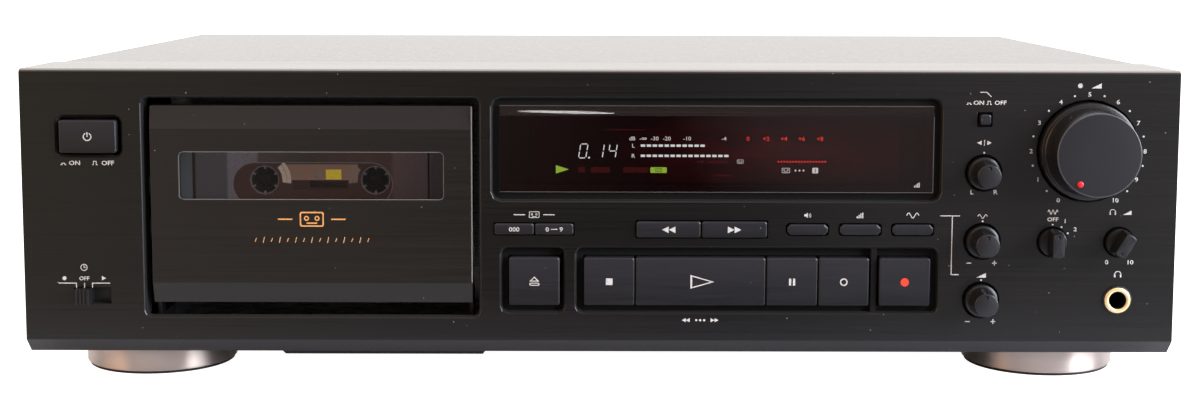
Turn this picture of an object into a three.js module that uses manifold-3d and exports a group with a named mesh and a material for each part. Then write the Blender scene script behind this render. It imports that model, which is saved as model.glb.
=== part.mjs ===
import * as THREE from 'three';
import { mergeVertices } from 'three/addons/utils/BufferGeometryUtils.js';
import Module from 'manifold-3d';

// A full-width home cassette deck: front panel with a tilting cassette door, display, transport
// keys and rotary controls, in a folded steel case that stands on four round feet.
// Millimetres. X runs to the right, Y to the rear, Z up. The cabinet group has its zero at the
// panel face and at the panel's lower edge; the whole is then set down on the feet.

const wasm = await Module();
wasm.setup();

// Fits
const gap = 0.3;            // between pieces that rest on each other or run past each other
const keyGap = 0.45;        // between a key and the edge of its opening
const overrun = 2;          // how far a cutting shape runs past what it cuts
const roundSides = 18;
const wheelSides = 12;
const smallSides = 8;
const cornerSteps = 2;
const keyCornerSteps = 1;

// Compact cassette
const cassetteWidth = 100.4;
const cassetteHeight = 63.8;
const cassetteThick = 8.7;
const cassetteHeadThick = 12;
const cassetteWall = 1.4;
const cassetteCorner = 2.5;
const hubSpacing = 42.5;
const hubRise = 35;         // hub line above the cassette's lower edge
const hubHoleRadius = 5.7;
const capstanOffset = 22;   // from the cassette's middle
const capstanRise = 6.6;
const capstanHoleRadius = 3.1;
const headEndShare = 0.32;          // half of the thick head end, of the cassette's width
const headEndTaperShare = 0.94;
const headEndHeightShare = 0.25;    // of the cassette's height
const sightRiseShare = 0.1;         // of the hub hole's radius
const sightHeightShare = 1.6;
const tapeRadiusShares = { left: 0.235, right: 0.125 };     // of the cassette's width
const reelBoreShare = 0.84;         // of the hub hole's radius
const reelToothShare = 0.72;
const reelTeeth = 6;
const reelToothWidth = 1.2;

// Cabinet
const cabinetWidth = 430;
const cabinetDepth = 296;
const panelWall = 3;
const rimWall = 2.5;
const rimDepth = 45;
const bottomRimDepth = 12;
const panelBevel = 5.4;
const panelEdge = 1.2;
const sheet = 1;
const coverInset = 1;
const coverDrop = 0.5;
const recessLip = 0.8;
const pocketFloor = 1.6;

// Door and its opening
const cassetteBottom = 28.1;    // above the panel's lower edge
const cassetteFront = 21;       // front of the shell behind the panel face
const openingSide = 12.15;      // from the cassette's side to the side of the opening
const openingBelow = 13.6;
const openingAbove = 4.5;
const openingFromSide = 45.2;   // from the cabinet's side
const openingCorner = 2;
const panelTopBand = 10.7;
const tunnelDepth = 8;
const doorGapSide = 2.45;
const doorGapBelow = 4.6;
const doorGapAbove = 3;
const doorFront = 0.6;
const doorWall = 2.4;
const doorSkirt = 1.6;
const doorDepth = 9;
const doorFoldBelow = 7.8;
const doorFoldAbove = 8.6;
const doorSlopeBelow = 1.8;
const doorSlopeAbove = 1.2;
const windowHalfWidth = 49.3;
const windowBelowHub = 4.8;
const windowAboveHub = 13.2;
const windowCorner = 1.7;
const windowSetback = 0.3;
const windowThick = 1.2;
const windowFlange = 2;
const hingeDepth = 11;
const hingeHeight = 9;
const hingePinRadius = 1.5;
const hingeEyeRadius = 3;
const hingeArmFront = 7.5;
const hingeArmBack = 13.5;
const hingeArmTop = 24;
const hingeEarWall = 2;

// Cassette holder
const holderPlate = 1.2;
const holderWall = 1.5;
const holderLip = 2.4;
const holderWindowHeight = 36;
const holderWindowDrop = 17;
const ledgeLength = 13;
const railBottomRise = 3;
const railTopDrop = 9;

// Middle of the panel: display, transport keys and small keys
const midGap = 5.1;
const displayHeight = 37.9;
const displayCorner = 3;
const displayMargin = 2.6;
const displayDepth = 2.6;
const glassFront = 0.4;
const glassBevel = 3.8;
const glassSlope = 1.2;
const glassEdge = 0.5;
const glassSeat = 2.5;
const tubeMargin = 9;
const tubeInset = 3;
const tubeDepth = 7.4;
const boardThick = 1.6;
const boardDepth = 14;
const boardEdge = 2;
const transportHeight = 18;
const transportMargin = 2.7;
const transportMarginAbove = 3.5;
const transportMarginBelow = 2.6;
const transportPocket = 3.2;
const transportFront = -0.8;
const ejectMarginRight = 1.5;
const windHeight = 6;
const windFront = -1;
const counterHeight = 4.2;
const counterFront = -0.5;
const modeHeight = 4;
const modeFront = -0.8;
const modeCorner = 1.2;
const keyCorner = 0.5;
const keyChamfer = 0.4;
const keyFlange = 1.2;
const keyFlangeReach = 1.4;
const keyStem = 3;
const keyTravel = 1;
const switchSize = 6;
const switchHeight = 3.5;
const lowRowShare = 0.2605;
const midRowShare = 0.4444;
const ejectEdgeShares = [0.0366, 0.15];
const transportEdgeShares = [0.2046, 0.3191, 0.6128, 0.7295, 0.8434];
const recordEdgeShares = [0.8668, 0.9808];
const windEdgeShares = [0.3221, 0.4667, 0.6137];
const counterEdgeShares = [0.0042, 0.0936, 0.1806];
const modeCentreShares = [0.7046, 0.8224, 0.9397];
const modeWidthShare = 0.0966;
const keyPostShares = [0.25, 0.635];

// Left column: power key and timer switch
const leftColumn = 25.35;       // from the cabinet's side
const powerWidth = 21.1;
const powerHeight = 12.1;
const powerMargin = 1.2;
const powerPocket = 3.2;
const powerFront = -1.8;
const powerTravel = 3;
const powerRiseShare = 0.7655;
const powerSwitchWidth = 16;
const powerSwitchHeight = 13;
const powerSwitchDepth = 28;
const timerSlotWidth = 13.8;
const timerSlotHeight = 6.3;
const timerRiseShare = 0.2068;
const timerTravel = 3;
const timerKnobWidth = 5.3;
const timerKnobReach = 4;
const timerRibs = 4;
const timerRibDepth = 0.5;
const timerFlangeReach = 1.5;
const timerSwitchDepth = 6;
const timerStem = 2;

// Right columns: rotary controls, filter key and headphone jack
const smallColumn = 72.3;       // from the cabinet's side
const columnClear = 16;         // from the small knobs' centres to the display recess
const selectorColumn = 46.1;
const phoneColumn = 21.2;
const levelColumn = 33.7;
const smallKnobRiseShares = { balance_knob: 0.6443, bias_knob: 0.4043, cal_level_knob: 0.197 };
const barKnobRiseShare = 0.4025;
const levelRiseShare = 0.7218;
const jackRiseShare = 0.1979;
const filterRiseShare = 0.831;
const filterSize = 3.9;
const filterOpening = 5.5;
const filterFront = -2;
const knobBack = 2;
const smallHoleRadius = 7;
const smallSkirtRadius = 6.1;
const smallBodyRadius = 5.1;
const smallFaceRadius = 4.4;
const smallReach = 11;
const smallSkirtReach = 2.2;
const smallDimple = 0.6;
const dimpleOrbitShare = 0.7;     // of the face's radius
const dimpleSides = 6;
const barHoleRadius = 5.8;
const barRadius = 5.2;
const barWidth = 4.3;
const barReach = 10;
const barDiscReach = 2.2;
const barTurnShare = 1 / 12;    // phone level bar at rest, of a full turn
const barNotch = 0.8;
const levelHoleRadius = 19.2;
const levelSkirtRadius = 18.2;
const levelBodyRadius = 16.7;
const levelFaceRadius = 15.5;
const levelReach = 16;
const levelSkirtReach = 3.6;
const levelSkirtWall = 1.5;
const levelShellWall = 2.2;
const levelHubRadius = 5;
const levelPocket = 3.2;
const levelDotRadius = 1.05;
const levelDotDome = 0.5;
const domeShoulderShare = 0.85;    // of the dot's dome and of its radius
const levelDotOrbit = 12.5;
const levelRestShare = 147 / 360;   // pointer at rest, anticlockwise from the top, of a turn
const shaftRadius = 2;
const shaftEnd = 16;
const bushingRadius = 3.8;
const bushingFront = 3.6;
const potDepth = 12;
const potBodyDepth = 8;
const potSize = 13;
const levelPotSize = 24;
const potBoardMargin = 9.5;
const jackRingRadius = 5.5;
const jackHoleRadius = 3.2;
const jackRingReach = 0.8;
const jackBoreDepth = 17;
const jackBodyWidth = 14;
const jackBodyDepth = 20;

// Feet
const footHeight = 10.6;
const footRadius = 29;
const footFromSide = 41.4;
const footFromEnd = 39.5;
const footWall = 8;
const footPadRadius = 27.9;
const footPadHeight = 1;
const footHollow = 6;
const footEdge = 0.6;
const footSides = 24;

// Chassis
const flangeHeight = 12;
const frontFlangeHeight = 3.5;
const embossFromOpening = 45.8;     // from the left side of the door opening
const embossPastOpening = 3.1;      // past its right side
const embossDepth = 60;
const embossDrop = 3.8;
const embossRamp = 3;
const embossStart = 2;
const ventCount = 8;
const ventWidth = 3;
const ventLength = 34;
const ventPitch = 9;
const ventFromRear = 70;
const standoffRadius = 2.5;
const standoffHeight = 7;
const rearFlange = 9;

// Tape transport
const plateDepth = 35;
const plateThick = 1.5;
const plateMarginTop = 3;
const plateFoot = 20;
const spindleDepth = 5.8;       // how far a spindle reaches into the cassette
const spindleTipRadius = 2;
const spindleBaseRadius = 3.5;
const spindleTableRadius = 9;
const spindleTableThick = 2.4;
const spindleShaftRadius = 1.5;
const spindleShaftEnd = 40;
const spindleCollarRadius = 3;
const spindleCollarThick = 1;
const capstanRadius = 1.1;
const capstanEntry = 2.3;
const capstanBossRadius = 4;
const capstanBossLength = 5;
const flywheelRadius = 26;
const flywheelThick = 6;
const flywheelWeb = 3;
const flywheelRim = 6;
const motorX = 54;              // from the capstan
const motorRadius = 16;
const motorLength = 22;
const motorPlate = 1.2;
const motorPostRadius = 2;
const pulleyRadius = 5;
const pulleyThick = 6;
const pulleyFlange = 1;
const motorShaftRadius = 1;
const motorShaftReach = 4.8;    // into the motor
const beltThick = 0.8;
const beltWidth = 4;
const reelMotorRadius = 12;
const reelMotorLength = 20;
const reelMotorRise = 20;       // above the hub line
const carriageTravel = 6;
const carriagePlate = 1.5;
const carriageHalfWidth = 34;
const carriageHeight = 15;
const headClear = 0.5;
const headSide = 0.4;
const headWidth = 14;
const headHeight = 11;
const headSlotWidth = 17;
const headSlotDepth = 8.5;
const headShare = 0.73;         // of the shell's head-end thickness
const eraseHeadWidth = 6;
const rollerRadius = 6.6;
const rollerBore = 1.2;
const rollerSlotWidth = 18;
const guidePinRadius = 1.3;
const guidePinOffset = 28;
const guidePinReach = 3.4;

// Inside of the case
const mainBoardLeft = 10;       // from the cabinet's middle
const mainBoardRight = 18;      // from the cabinet's side
const mainBoardFront = 90;
const mainBoardRear = 3;        // from the rear panel
const transformerWidth = 62;
const transformerDepth = 44;
const transformerHeight = 52;
const transformerFromSide = 22;
const transformerFromRear = 40;
const transformerCoil = 10;
const transformerLug = 8;
const lugThick = 2;
const capacitorRadius = 9;
const capacitorHeight = 32;
const capacitorCount = 4;
const capacitorPitch = 22;
const capacitorFromSide = 30;
const heatSinkLength = 60;
const heatSinkHeight = 38;
const heatSinkFins = 6;
const heatSinkFinDepth = 12;
const heatSinkWall = 2;
const chipLength = 36;
const chipWidth = 12;
const chipHeight = 4;
const chipCount = 3;

// Rear
const socketReach = 8;
const socketRadius = 4.2;
const socketCollarRadius = 5.4;
const socketCollar = 2;
const socketBore = 1.7;
const socketPitchX = 16;
const socketPitchZ = 17;
const socketFromSide = 70;
const socketBlockDepth = 14;
const socketBlockMargin = 9;
const socketRise = 21;
const bushingFromSide = 32;
const bushingRise = 26;
const bushingOuter = 7.5;
const bushingNeck = 5.2;
const bushingBore = 3.4;
const bushingReach = 6;
const bushingTailRadius = 5.6;

// Places worked out from the sizes above
const halfWidth = cabinetWidth / 2;
const cassetteLeft = -halfWidth + openingFromSide + openingSide;
const cassetteRight = cassetteLeft + cassetteWidth;
const cassetteX = (cassetteLeft + cassetteRight) / 2;
const cassetteTop = cassetteBottom + cassetteHeight;
const cassetteBack = cassetteFront + cassetteThick;
const cassetteY = (cassetteFront + cassetteBack) / 2;
const headEndBack = cassetteY + cassetteHeadThick / 2;
const hubZ = cassetteBottom + hubRise;
const capstanX = cassetteX + capstanOffset;
const capstanZ = cassetteBottom + capstanRise;
const opening = {
  left: cassetteLeft - openingSide,
  right: cassetteRight + openingSide,
  bottom: cassetteBottom - openingBelow,
  top: cassetteTop + openingAbove,
};
const panelHeight = opening.top + panelTopBand;
const door = {
  left: opening.left + doorGapSide,
  right: opening.right - doorGapSide,
  bottom: opening.bottom + doorGapBelow,
  top: opening.top - doorGapAbove,
};
const smallX = halfWidth - smallColumn;
const midLeft = opening.right + midGap;
const midWidth = smallX - columnClear - midLeft;
const across = share => midLeft + share * midWidth;
const lowRow = lowRowShare * panelHeight;
const midRow = midRowShare * panelHeight;
const display = {
  left: midLeft,
  right: midLeft + midWidth,
  bottom: opening.top - displayHeight,
  top: opening.top,
};
const powerX = -halfWidth + leftColumn;
const powerZ = powerRiseShare * panelHeight;
const timerZ = timerRiseShare * panelHeight;
const jackX = halfWidth - phoneColumn;
const jackZ = jackRiseShare * panelHeight;
const filterZ = filterRiseShare * panelHeight;
const levelX = halfWidth - levelColumn;
const levelZ = levelRiseShare * panelHeight;
const coverHalf = halfWidth - coverInset;
const coverTop = panelHeight - coverDrop;
const coverFront = rimDepth + gap;
const chassisHalf = halfWidth - rimWall - gap;
const chassisFront = bottomRimDepth + gap;
const rearFace = cabinetDepth;
const rearInside = cabinetDepth - sheet;
const rearHalf = coverHalf - sheet - gap;
const socketX = halfWidth - socketFromSide;
const socketZ = socketRise;
const bushingX = -halfWidth + bushingFromSide;
const boardBottom = sheet + standoffHeight;
const boardTop = boardBottom + boardThick;
const boardFace = boardDepth;
const switchFace = boardFace - switchHeight;

// Materials
function finish(color, roughness, metalness) {
  return new THREE.MeshStandardMaterial({ color, roughness, metalness });
}
const brushedBlack = finish(0x2c2a29, 0.4, 0.6);
const blackPlastic = finish(0x1d1d1f, 0.5, 0);
const keyPlastic = finish(0x37373a, 0.45, 0);
const doorPlastic = finish(0x2e2b2a, 0.4, 0.3);
const smokedGlass = finish(0x1c0c0e, 0.1, 0);
const clearGlass = finish(0x4a4648, 0.1, 0);
const coverPaint = finish(0x3a3a3c, 0.45, 0.3);
const champagne = finish(0xc9bcae, 0.3, 0.9);
const shellPlastic = finish(0x6b6472, 0.5, 0);
const hubPlastic = finish(0xd9d6d0, 0.5, 0);
const circuitBoard = finish(0x2f5a36, 0.6, 0);
const steel = finish(0x9a9da1, 0.35, 0.9);
const rubber = finish(0x141414, 0.85, 0);
const gold = finish(0xc9a35a, 0.3, 0.9);
const redPaint = finish(0xd63a3a, 0.4, 0);
const lacquer = finish(0x7a3b22, 0.5, 0.2);
const tubeGlass = finish(0x241a1c, 0.15, 0);

// Turns a geometry into one closed set of shared corners with its faces pointing out
function weld(geometry) {
  const bare = new THREE.BufferGeometry();
  bare.setAttribute('position', geometry.attributes.position);
  bare.setIndex(geometry.index);
  const merged = mergeVertices(bare);
  const corners = merged.attributes.position;
  const faces = [];
  for (let i = 0; i < merged.index.count; i += 3) {
    const [a, b, c] = [0, 1, 2].map(k => merged.index.getX(i + k));
    if (a !== b && b !== c && c !== a) {
      faces.push([a, b, c]);
    }
  }
  const [p, q, r] = [new THREE.Vector3(), new THREE.Vector3(), new THREE.Vector3()];
  let volume = 0;
  for (const [a, b, c] of faces) {
    p.fromBufferAttribute(corners, a);
    q.fromBufferAttribute(corners, b);
    r.fromBufferAttribute(corners, c);
    volume += p.dot(q.cross(r));
  }
  const turned = volume < 0 ? faces.map(([a, b, c]) => [a, c, b]) : faces;
  return { corners: new Float32Array(corners.array), faces: new Uint32Array(turned.flat()) };
}

function solid(shape) {
  if (shape instanceof wasm.Manifold) {
    return shape;
  }
  const { corners, faces } = weld(shape);
  return new wasm.Manifold(new wasm.Mesh({ numProp: 3, vertProperties: corners, triVerts: faces }));
}

function join(...shapes) {
  return shapes.map(solid).reduce((whole, shape) => whole.add(shape));
}

function cut(shape, ...tools) {
  return tools.map(solid).reduce((whole, tool) => whole.subtract(tool), solid(shape));
}

function meet(shape, other) {
  return solid(shape).intersect(solid(other));
}

function geometryOf(shape) {
  const geometry = new THREE.BufferGeometry();
  if (shape instanceof wasm.Manifold) {
    const mesh = shape.getMesh();
    geometry.setAttribute('position', new THREE.BufferAttribute(mesh.vertProperties, 3));
    geometry.setIndex(new THREE.BufferAttribute(mesh.triVerts, 1));
  } else {
    const { corners, faces } = weld(shape);
    geometry.setAttribute('position', new THREE.BufferAttribute(corners, 3));
    geometry.setIndex(new THREE.BufferAttribute(faces, 1));
  }
  geometry.computeVertexNormals();
  return geometry;
}

// Basic shapes
function box(x0, x1, y0, y1, z0, z1) {
  const geometry = new THREE.BoxGeometry(x1 - x0, y1 - y0, z1 - z0);
  return geometry.translate((x0 + x1) / 2, (y0 + y1) / 2, (z0 + z1) / 2);
}

function barrel(x, z, radius, y0, y1, sides = roundSides) {
  return new THREE.CylinderGeometry(radius, radius, y1 - y0, sides).translate(x, (y0 + y1) / 2, z);
}

function post(x, y, radius, z0, z1, sides = roundSides) {
  const geometry = new THREE.CylinderGeometry(radius, radius, z1 - z0, sides);
  return geometry.rotateX(Math.PI / 2).translate(x, y, (z0 + z1) / 2);
}

function pinAcross(y, z, radius, x0, x1) {
  const geometry = new THREE.CylinderGeometry(radius, radius, x1 - x0, smallSides);
  return geometry.rotateZ(Math.PI / 2).translate((x0 + x1) / 2, y, z);
}

// A turned piece about the Y axis, from [radius, y] points that start and end on the axis
function turned(points, sides = roundSides) {
  return new THREE.LatheGeometry(points.map(([r, y]) => new THREE.Vector2(r, y)), sides);
}

// A rounded rectangle in X and Z, anticlockwise as seen from the front
function plateOutline({ left, right, bottom, top }, radius = 0, grow = 0, steps = cornerSteps) {
  const r = radius + grow;
  const corners = [
    [right + grow, bottom - grow, -1, 1, -0.25],
    [right + grow, top + grow, -1, -1, 0],
    [left - grow, top + grow, 1, -1, 0.25],
    [left - grow, bottom - grow, 1, 1, 0.5],
  ];
  return corners.flatMap(([x, z, towardsX, towardsZ, startTurn]) => {
    if (r <= 0) {
      return [new THREE.Vector2(x, z)];
    }
    return Array.from({ length: steps + 1 }, (_, i) => {
      const angle = (startTurn + i / steps / 4) * 2 * Math.PI;
      const [centreX, centreZ] = [x + towardsX * r, z + towardsZ * r];
      return new THREE.Vector2(centreX + r * Math.cos(angle), centreZ + r * Math.sin(angle));
    });
  });
}

// A solid through outlines with equal counts of points, each set at its own depth
function stack(layers) {
  const count = layers[0].outline.length;
  const points = layers.flatMap(({ outline, y }) => outline.map(p => [p.x, y, p.y]));
  const faces = [];
  for (let layer = 0; layer + 1 < layers.length; layer++) {
    for (let i = 0; i < count; i++) {
      const next = (i + 1) % count;
      const [a, b] = [layer * count + i, layer * count + next];
      const [c, d] = [b + count, a + count];
      faces.push(a, d, c, a, c, b);
    }
  }
  const last = (layers.length - 1) * count;
  for (const [a, b, c] of THREE.ShapeUtils.triangulateShape(layers[0].outline, [])) {
    faces.push(a, b, c);
  }
  for (const [a, b, c] of THREE.ShapeUtils.triangulateShape(layers.at(-1).outline, [])) {
    faces.push(last + a, last + c, last + b);
  }
  const geometry = new THREE.BufferGeometry();
  geometry.setAttribute('position', new THREE.Float32BufferAttribute(points.flat(), 3));
  geometry.setIndex(faces);
  return geometry;
}

function slab(outline, y0, y1) {
  return stack([{ outline, y: y0 }, { outline, y: y1 }]);
}

// An outline of [y, z] points run across the cabinet
function runAcross(points, x0, x1) {
  const shape = new THREE.Shape(points.map(([y, z]) => new THREE.Vector2(y, z)));
  const geometry = new THREE.ExtrudeGeometry(shape, { depth: x1 - x0, bevelEnabled: false });
  const axes = [new THREE.Vector3(0, 1, 0), new THREE.Vector3(0, 0, 1), new THREE.Vector3(1, 0, 0)];
  return geometry.applyMatrix4(new THREE.Matrix4().makeBasis(...axes)).translate(x0, 0, 0);
}

function grown({ left, right, bottom, top }, by) {
  return { left: left - by, right: right + by, bottom: bottom - by, top: top + by };
}

function around(x, z, width, height) {
  return { left: x - width / 2, right: x + width / 2, bottom: z - height / 2, top: z + height / 2 };
}

// The assembly
const cabinet = new THREE.Group();

function add(name, shape, material, parent = cabinet) {
  const mesh = new THREE.Mesh(geometryOf(shape), material);
  mesh.name = name;
  parent.add(mesh);
  return mesh;
}

// Keys: each is a cap with a flange behind the panel and a stem towards its switch
const keys = [];

function key(name, area, front, options) {
  keys.push({ name, area, front, travel: keyTravel, corner: keyCorner, ...options });
}

const transportArea = (left, right) => ({
  left,
  right,
  bottom: lowRow - transportHeight / 2,
  top: lowRow + transportHeight / 2,
});
const transportNames = ['stop_button', 'play_button', 'pause_button', 'rec_mute_button'];
const behindPocket = transportPocket + pocketFloor;

transportNames.forEach((name, i) => {
  const left = across(transportEdgeShares[i]) + (i > 0 ? keyGap / 2 : 0);
  const right = across(transportEdgeShares[i + 1]) - (i < transportNames.length - 1 ? keyGap / 2 : 0);
  key(name, transportArea(left, right), transportFront, { seat: behindPocket });
});
key('record_button', transportArea(...recordEdgeShares.map(across)), transportFront,
  { seat: behindPocket });
key('eject_button', transportArea(...ejectEdgeShares.map(across)), transportFront,
  { seat: behindPocket });

function rowKeys(names, edgeShares, height, front) {
  names.forEach((name, i) => {
    const left = across(edgeShares[i]) + (i > 0 ? keyGap / 2 : 0);
    const right = across(edgeShares[i + 1]) - (i < names.length - 1 ? keyGap / 2 : 0);
    const area = { left, right, bottom: midRow - height / 2, top: midRow + height / 2 };
    key(name, area, front, { seat: panelWall });
  });
}

rowKeys(['rewind_button', 'fast_forward_button'], windEdgeShares, windHeight, windFront);
rowKeys(['counter_reset_button', 'counter_memory_button'], counterEdgeShares, counterHeight,
  counterFront);
['monitor_button', 'display_mode_button', 'calibration_button'].forEach((name, i) => {
  const width = modeWidthShare * midWidth - 2 * keyGap;
  const area = around(across(modeCentreShares[i]), midRow, width, modeHeight);
  key(name, area, modeFront, { seat: panelWall, corner: modeCorner });
});
key('filter_button', around(smallX, filterZ, filterSize, filterSize), filterFront,
  { seat: panelWall, switchAt: potDepth });
key('power_button', around(powerX, powerZ, powerWidth, powerHeight), powerFront,
  { seat: powerPocket + pocketFloor, travel: powerTravel });

function keySolid({ name, area, front, seat, travel, corner, switchAt = switchFace }) {
  const flangeFront = seat + gap;
  const flangeBack = flangeFront + keyFlange;
  const [x, z] = [(area.left + area.right) / 2, (area.bottom + area.top) / 2];
  const cap = stack([
    { outline: plateOutline(grown(area, -keyChamfer), corner, 0, keyCornerSteps), y: front },
    { outline: plateOutline(area, corner, 0, keyCornerSteps), y: front + keyChamfer },
    { outline: plateOutline(area, corner, 0, keyCornerSteps), y: flangeBack },
  ]);
  const flange = box(area.left, area.right, flangeFront, flangeBack,
    area.bottom - keyFlangeReach, area.top + keyFlangeReach);
  const stemEnd = switchAt - travel - gap;
  const stem = box(x - keyStem / 2, x + keyStem / 2, flangeFront, stemEnd,
    z - keyStem / 2, z + keyStem / 2);
  add(name, join(cap, flange, stem), keyPlastic);
}

// Front panel
const transportRecess = {
  left: across(transportEdgeShares[0]) - transportMargin,
  right: across(recordEdgeShares[1]) + transportMargin,
  bottom: lowRow - transportHeight / 2 - transportMarginBelow,
  top: lowRow + transportHeight / 2 + transportMarginAbove,
};
const ejectRecess = {
  ...transportRecess,
  left: across(ejectEdgeShares[0]) - transportMargin,
  right: across(ejectEdgeShares[1]) + ejectMarginRight,
};
const powerRecess = grown(around(powerX, powerZ, powerWidth, powerHeight), powerMargin);
const timerSlot = around(powerX, timerZ, timerSlotWidth, timerSlotHeight);

// A recess with a lip round its mouth: the block that carries it and the shape cut into it
function pocket(area, depth, corner) {
  const block = slab(plateOutline(grown(area, pocketFloor), corner), panelWall / 2,
    depth + pocketFloor);
  return { block, mouth: mouthOf(area, depth, corner) };
}

function mouthOf(area, depth, corner) {
  return stack([
    { outline: plateOutline(area, corner, recessLip + overrun), y: -overrun },
    { outline: plateOutline(area, corner, recessLip), y: 0 },
    { outline: plateOutline(area, corner), y: recessLip },
    { outline: plateOutline(area, corner), y: depth },
  ]);
}

function keyHole(area, depth) {
  return slab(plateOutline(grown(area, keyGap), 0), -overrun, depth + overrun);
}

function keyWindow(left, right, height, row) {
  return { left, right, bottom: row - height / 2, top: row + height / 2 };
}

function frontPanel() {
  const edge = panelEdge;
  const outside = runAcross([
    [0, panelBevel], [0, panelHeight - edge], [edge, panelHeight], [rimDepth, panelHeight],
    [rimDepth, 0], [panelBevel, 0],
  ], -halfWidth, halfWidth);
  const inside = runAcross([
    [panelWall, panelBevel + edge], [panelWall, panelHeight - rimWall],
    [rimDepth + overrun, panelHeight - rimWall], [rimDepth + overrun, rimWall],
    [panelBevel + edge, rimWall],
  ], -halfWidth + rimWall, halfWidth - rimWall);
  const underside = box(-halfWidth + rimWall, halfWidth - rimWall, bottomRimDepth,
    rimDepth + overrun, -overrun, rimWall + overrun);
  let panel = cut(outside, inside, underside);

  // Door opening, with a wall round its sides and top
  const collar = cut(
    slab(plateOutline(grown(opening, pocketFloor), openingCorner), panelWall / 2, tunnelDepth),
    box(opening.left, opening.right, panelWall, tunnelDepth + overrun,
      opening.bottom - pocketFloor - overrun, opening.bottom + overrun),
    box(opening.left - pocketFloor - overrun, opening.right + pocketFloor + overrun, panelWall,
      tunnelDepth + overrun, opening.bottom - pocketFloor - overrun, opening.bottom));
  panel = join(panel, collar);

  // Recesses with a floor
  const recesses = [
    pocket(transportRecess, transportPocket, openingCorner),
    pocket(ejectRecess, transportPocket, openingCorner),
    pocket(powerRecess, powerPocket, openingCorner),
    pocket(display, displayDepth, displayCorner),
  ];
  const levelWell = barrel(levelX, levelZ, levelHoleRadius + pocketFloor, panelWall / 2,
    levelPocket + pocketFloor, footSides);
  panel = join(panel, levelWell, ...recesses.map(recess => recess.block));
  panel = cut(panel, ...recesses.map(recess => recess.mouth),
    mouthOf(opening, tunnelDepth + overrun, openingCorner));

  // The rib between the last two transport keys
  const ribLeft = across(transportEdgeShares.at(-1)) + 2 * keyGap;
  const ribRight = across(recordEdgeShares[0]) - 2 * keyGap;
  panel = join(panel, box(ribLeft, ribRight, recessLip, transportPocket + pocketFloor / 2,
    transportRecess.bottom - pocketFloor / 2, transportRecess.top + pocketFloor / 2));

  // Openings for the keys
  const floorHoles = [
    transportArea(across(transportEdgeShares[0]), across(transportEdgeShares.at(-1))),
    transportArea(...recordEdgeShares.map(across)),
    transportArea(...ejectEdgeShares.map(across)),
    around(powerX, powerZ, powerWidth, powerHeight),
  ].map(area => slab(plateOutline(grown(area, keyGap)), transportPocket - overrun,
    transportPocket + pocketFloor + overrun));
  const modeWidth = modeWidthShare * midWidth;
  const wallHoles = [
    keyWindow(across(windEdgeShares[0]), across(windEdgeShares[2]), windHeight, midRow),
    keyWindow(across(counterEdgeShares[0]), across(counterEdgeShares[2]), counterHeight, midRow),
  ].map(area => keyHole(area, panelWall));
  const modeHoles = modeCentreShares.map(share => slab(
    plateOutline(around(across(share), midRow, modeWidth, modeHeight + 2 * keyGap), modeCorner),
    -overrun, panelWall + overrun));
  const filterHole = slab(plateOutline(around(smallX, filterZ, filterOpening, filterOpening)),
    -overrun, panelWall + overrun);
  const timerHole = slab(plateOutline(timerSlot), -overrun, panelWall + overrun);

  // The display's window in the floor of its recess
  const glassHole = slab(plateOutline(grown(display, -displayMargin - glassSeat)), 0,
    displayDepth + pocketFloor + overrun);

  // Holes for the rotary controls and the jack
  const round = (x, z, radius, depth, sides) => barrel(x, z, radius, -overrun, depth + overrun, sides);
  const knobHoles = [
    ...Object.values(smallKnobRiseShares).map(share => round(smallX, share * panelHeight,
      smallHoleRadius, panelWall)),
    round(halfWidth - selectorColumn, barKnobRiseShare * panelHeight, barHoleRadius, panelWall),
    round(halfWidth - phoneColumn, barKnobRiseShare * panelHeight, barHoleRadius, panelWall),
    round(jackX, jackZ, jackRingRadius - recessLip, panelWall),
    barrel(levelX, levelZ, levelHoleRadius, -overrun, levelPocket, footSides),
    round(levelX, levelZ, bushingRadius + gap, levelPocket + pocketFloor),
  ];
  panel = cut(panel, ...floorHoles, ...wallHoles, ...modeHoles, filterHole, timerHole, glassHole,
    ...knobHoles);

  // Posts that carry the boards behind the panel
  const posts = boardPosts().map(([x, z, end]) => barrel(x, z, standoffRadius, panelWall - gap,
    end - gap, smallSides));
  add('front_panel', join(panel, ...posts), brushedBlack);
}

const keyBoard = {
  left: midLeft - boardEdge,
  right: midLeft + midWidth + boardEdge,
  bottom: lowRow - transportHeight / 2 - 2 * boardEdge - 2 * standoffRadius,
  top: midRow + windHeight,
};
const displayBoard = {
  ...keyBoard,
  bottom: display.bottom - boardEdge / 2,
  top: display.top + boardEdge,
};
const potBoard = {
  left: smallX - potBoardMargin,
  right: halfWidth - potBoardMargin,
  bottom: smallKnobRiseShares.cal_level_knob * panelHeight - potSize / 2 - 2 * standoffRadius
    - boardEdge,
  top: panelHeight - potBoardMargin,
};

function boardPosts() {
  const inset = standoffRadius + boardEdge / 2;
  const corners = [display.left + boardEdge, display.right - boardEdge].flatMap(
    x => [display.bottom + boardEdge, display.top - boardEdge].map(z => [x, z, boardFace]));
  return [
    ...corners,
    ...keyPostShares.map(share => [across(share), midRow, boardFace]),
    [keyBoard.left + inset, keyBoard.bottom + inset, boardFace],
    [keyBoard.right - inset, keyBoard.bottom + inset, boardFace],
    [potBoard.left + inset, potBoard.top - inset, potDepth + potBodyDepth],
    [potBoard.right - inset, potBoard.top - inset, potDepth + potBodyDepth],
    [potBoard.left + inset, potBoard.bottom + inset, potDepth + potBodyDepth],
  ];
}

// Case: folded cover, floor with its emboss and vents, rear panel
function topCover() {
  const outer = box(-coverHalf, coverHalf, coverFront, rearFace, sheet / 2, coverTop);
  const inner = box(-coverHalf + sheet, coverHalf - sheet, coverFront - overrun,
    rearFace + overrun, -overrun, coverTop - sheet);
  add('top_cover', cut(outer, inner), coverPaint);
}

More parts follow.
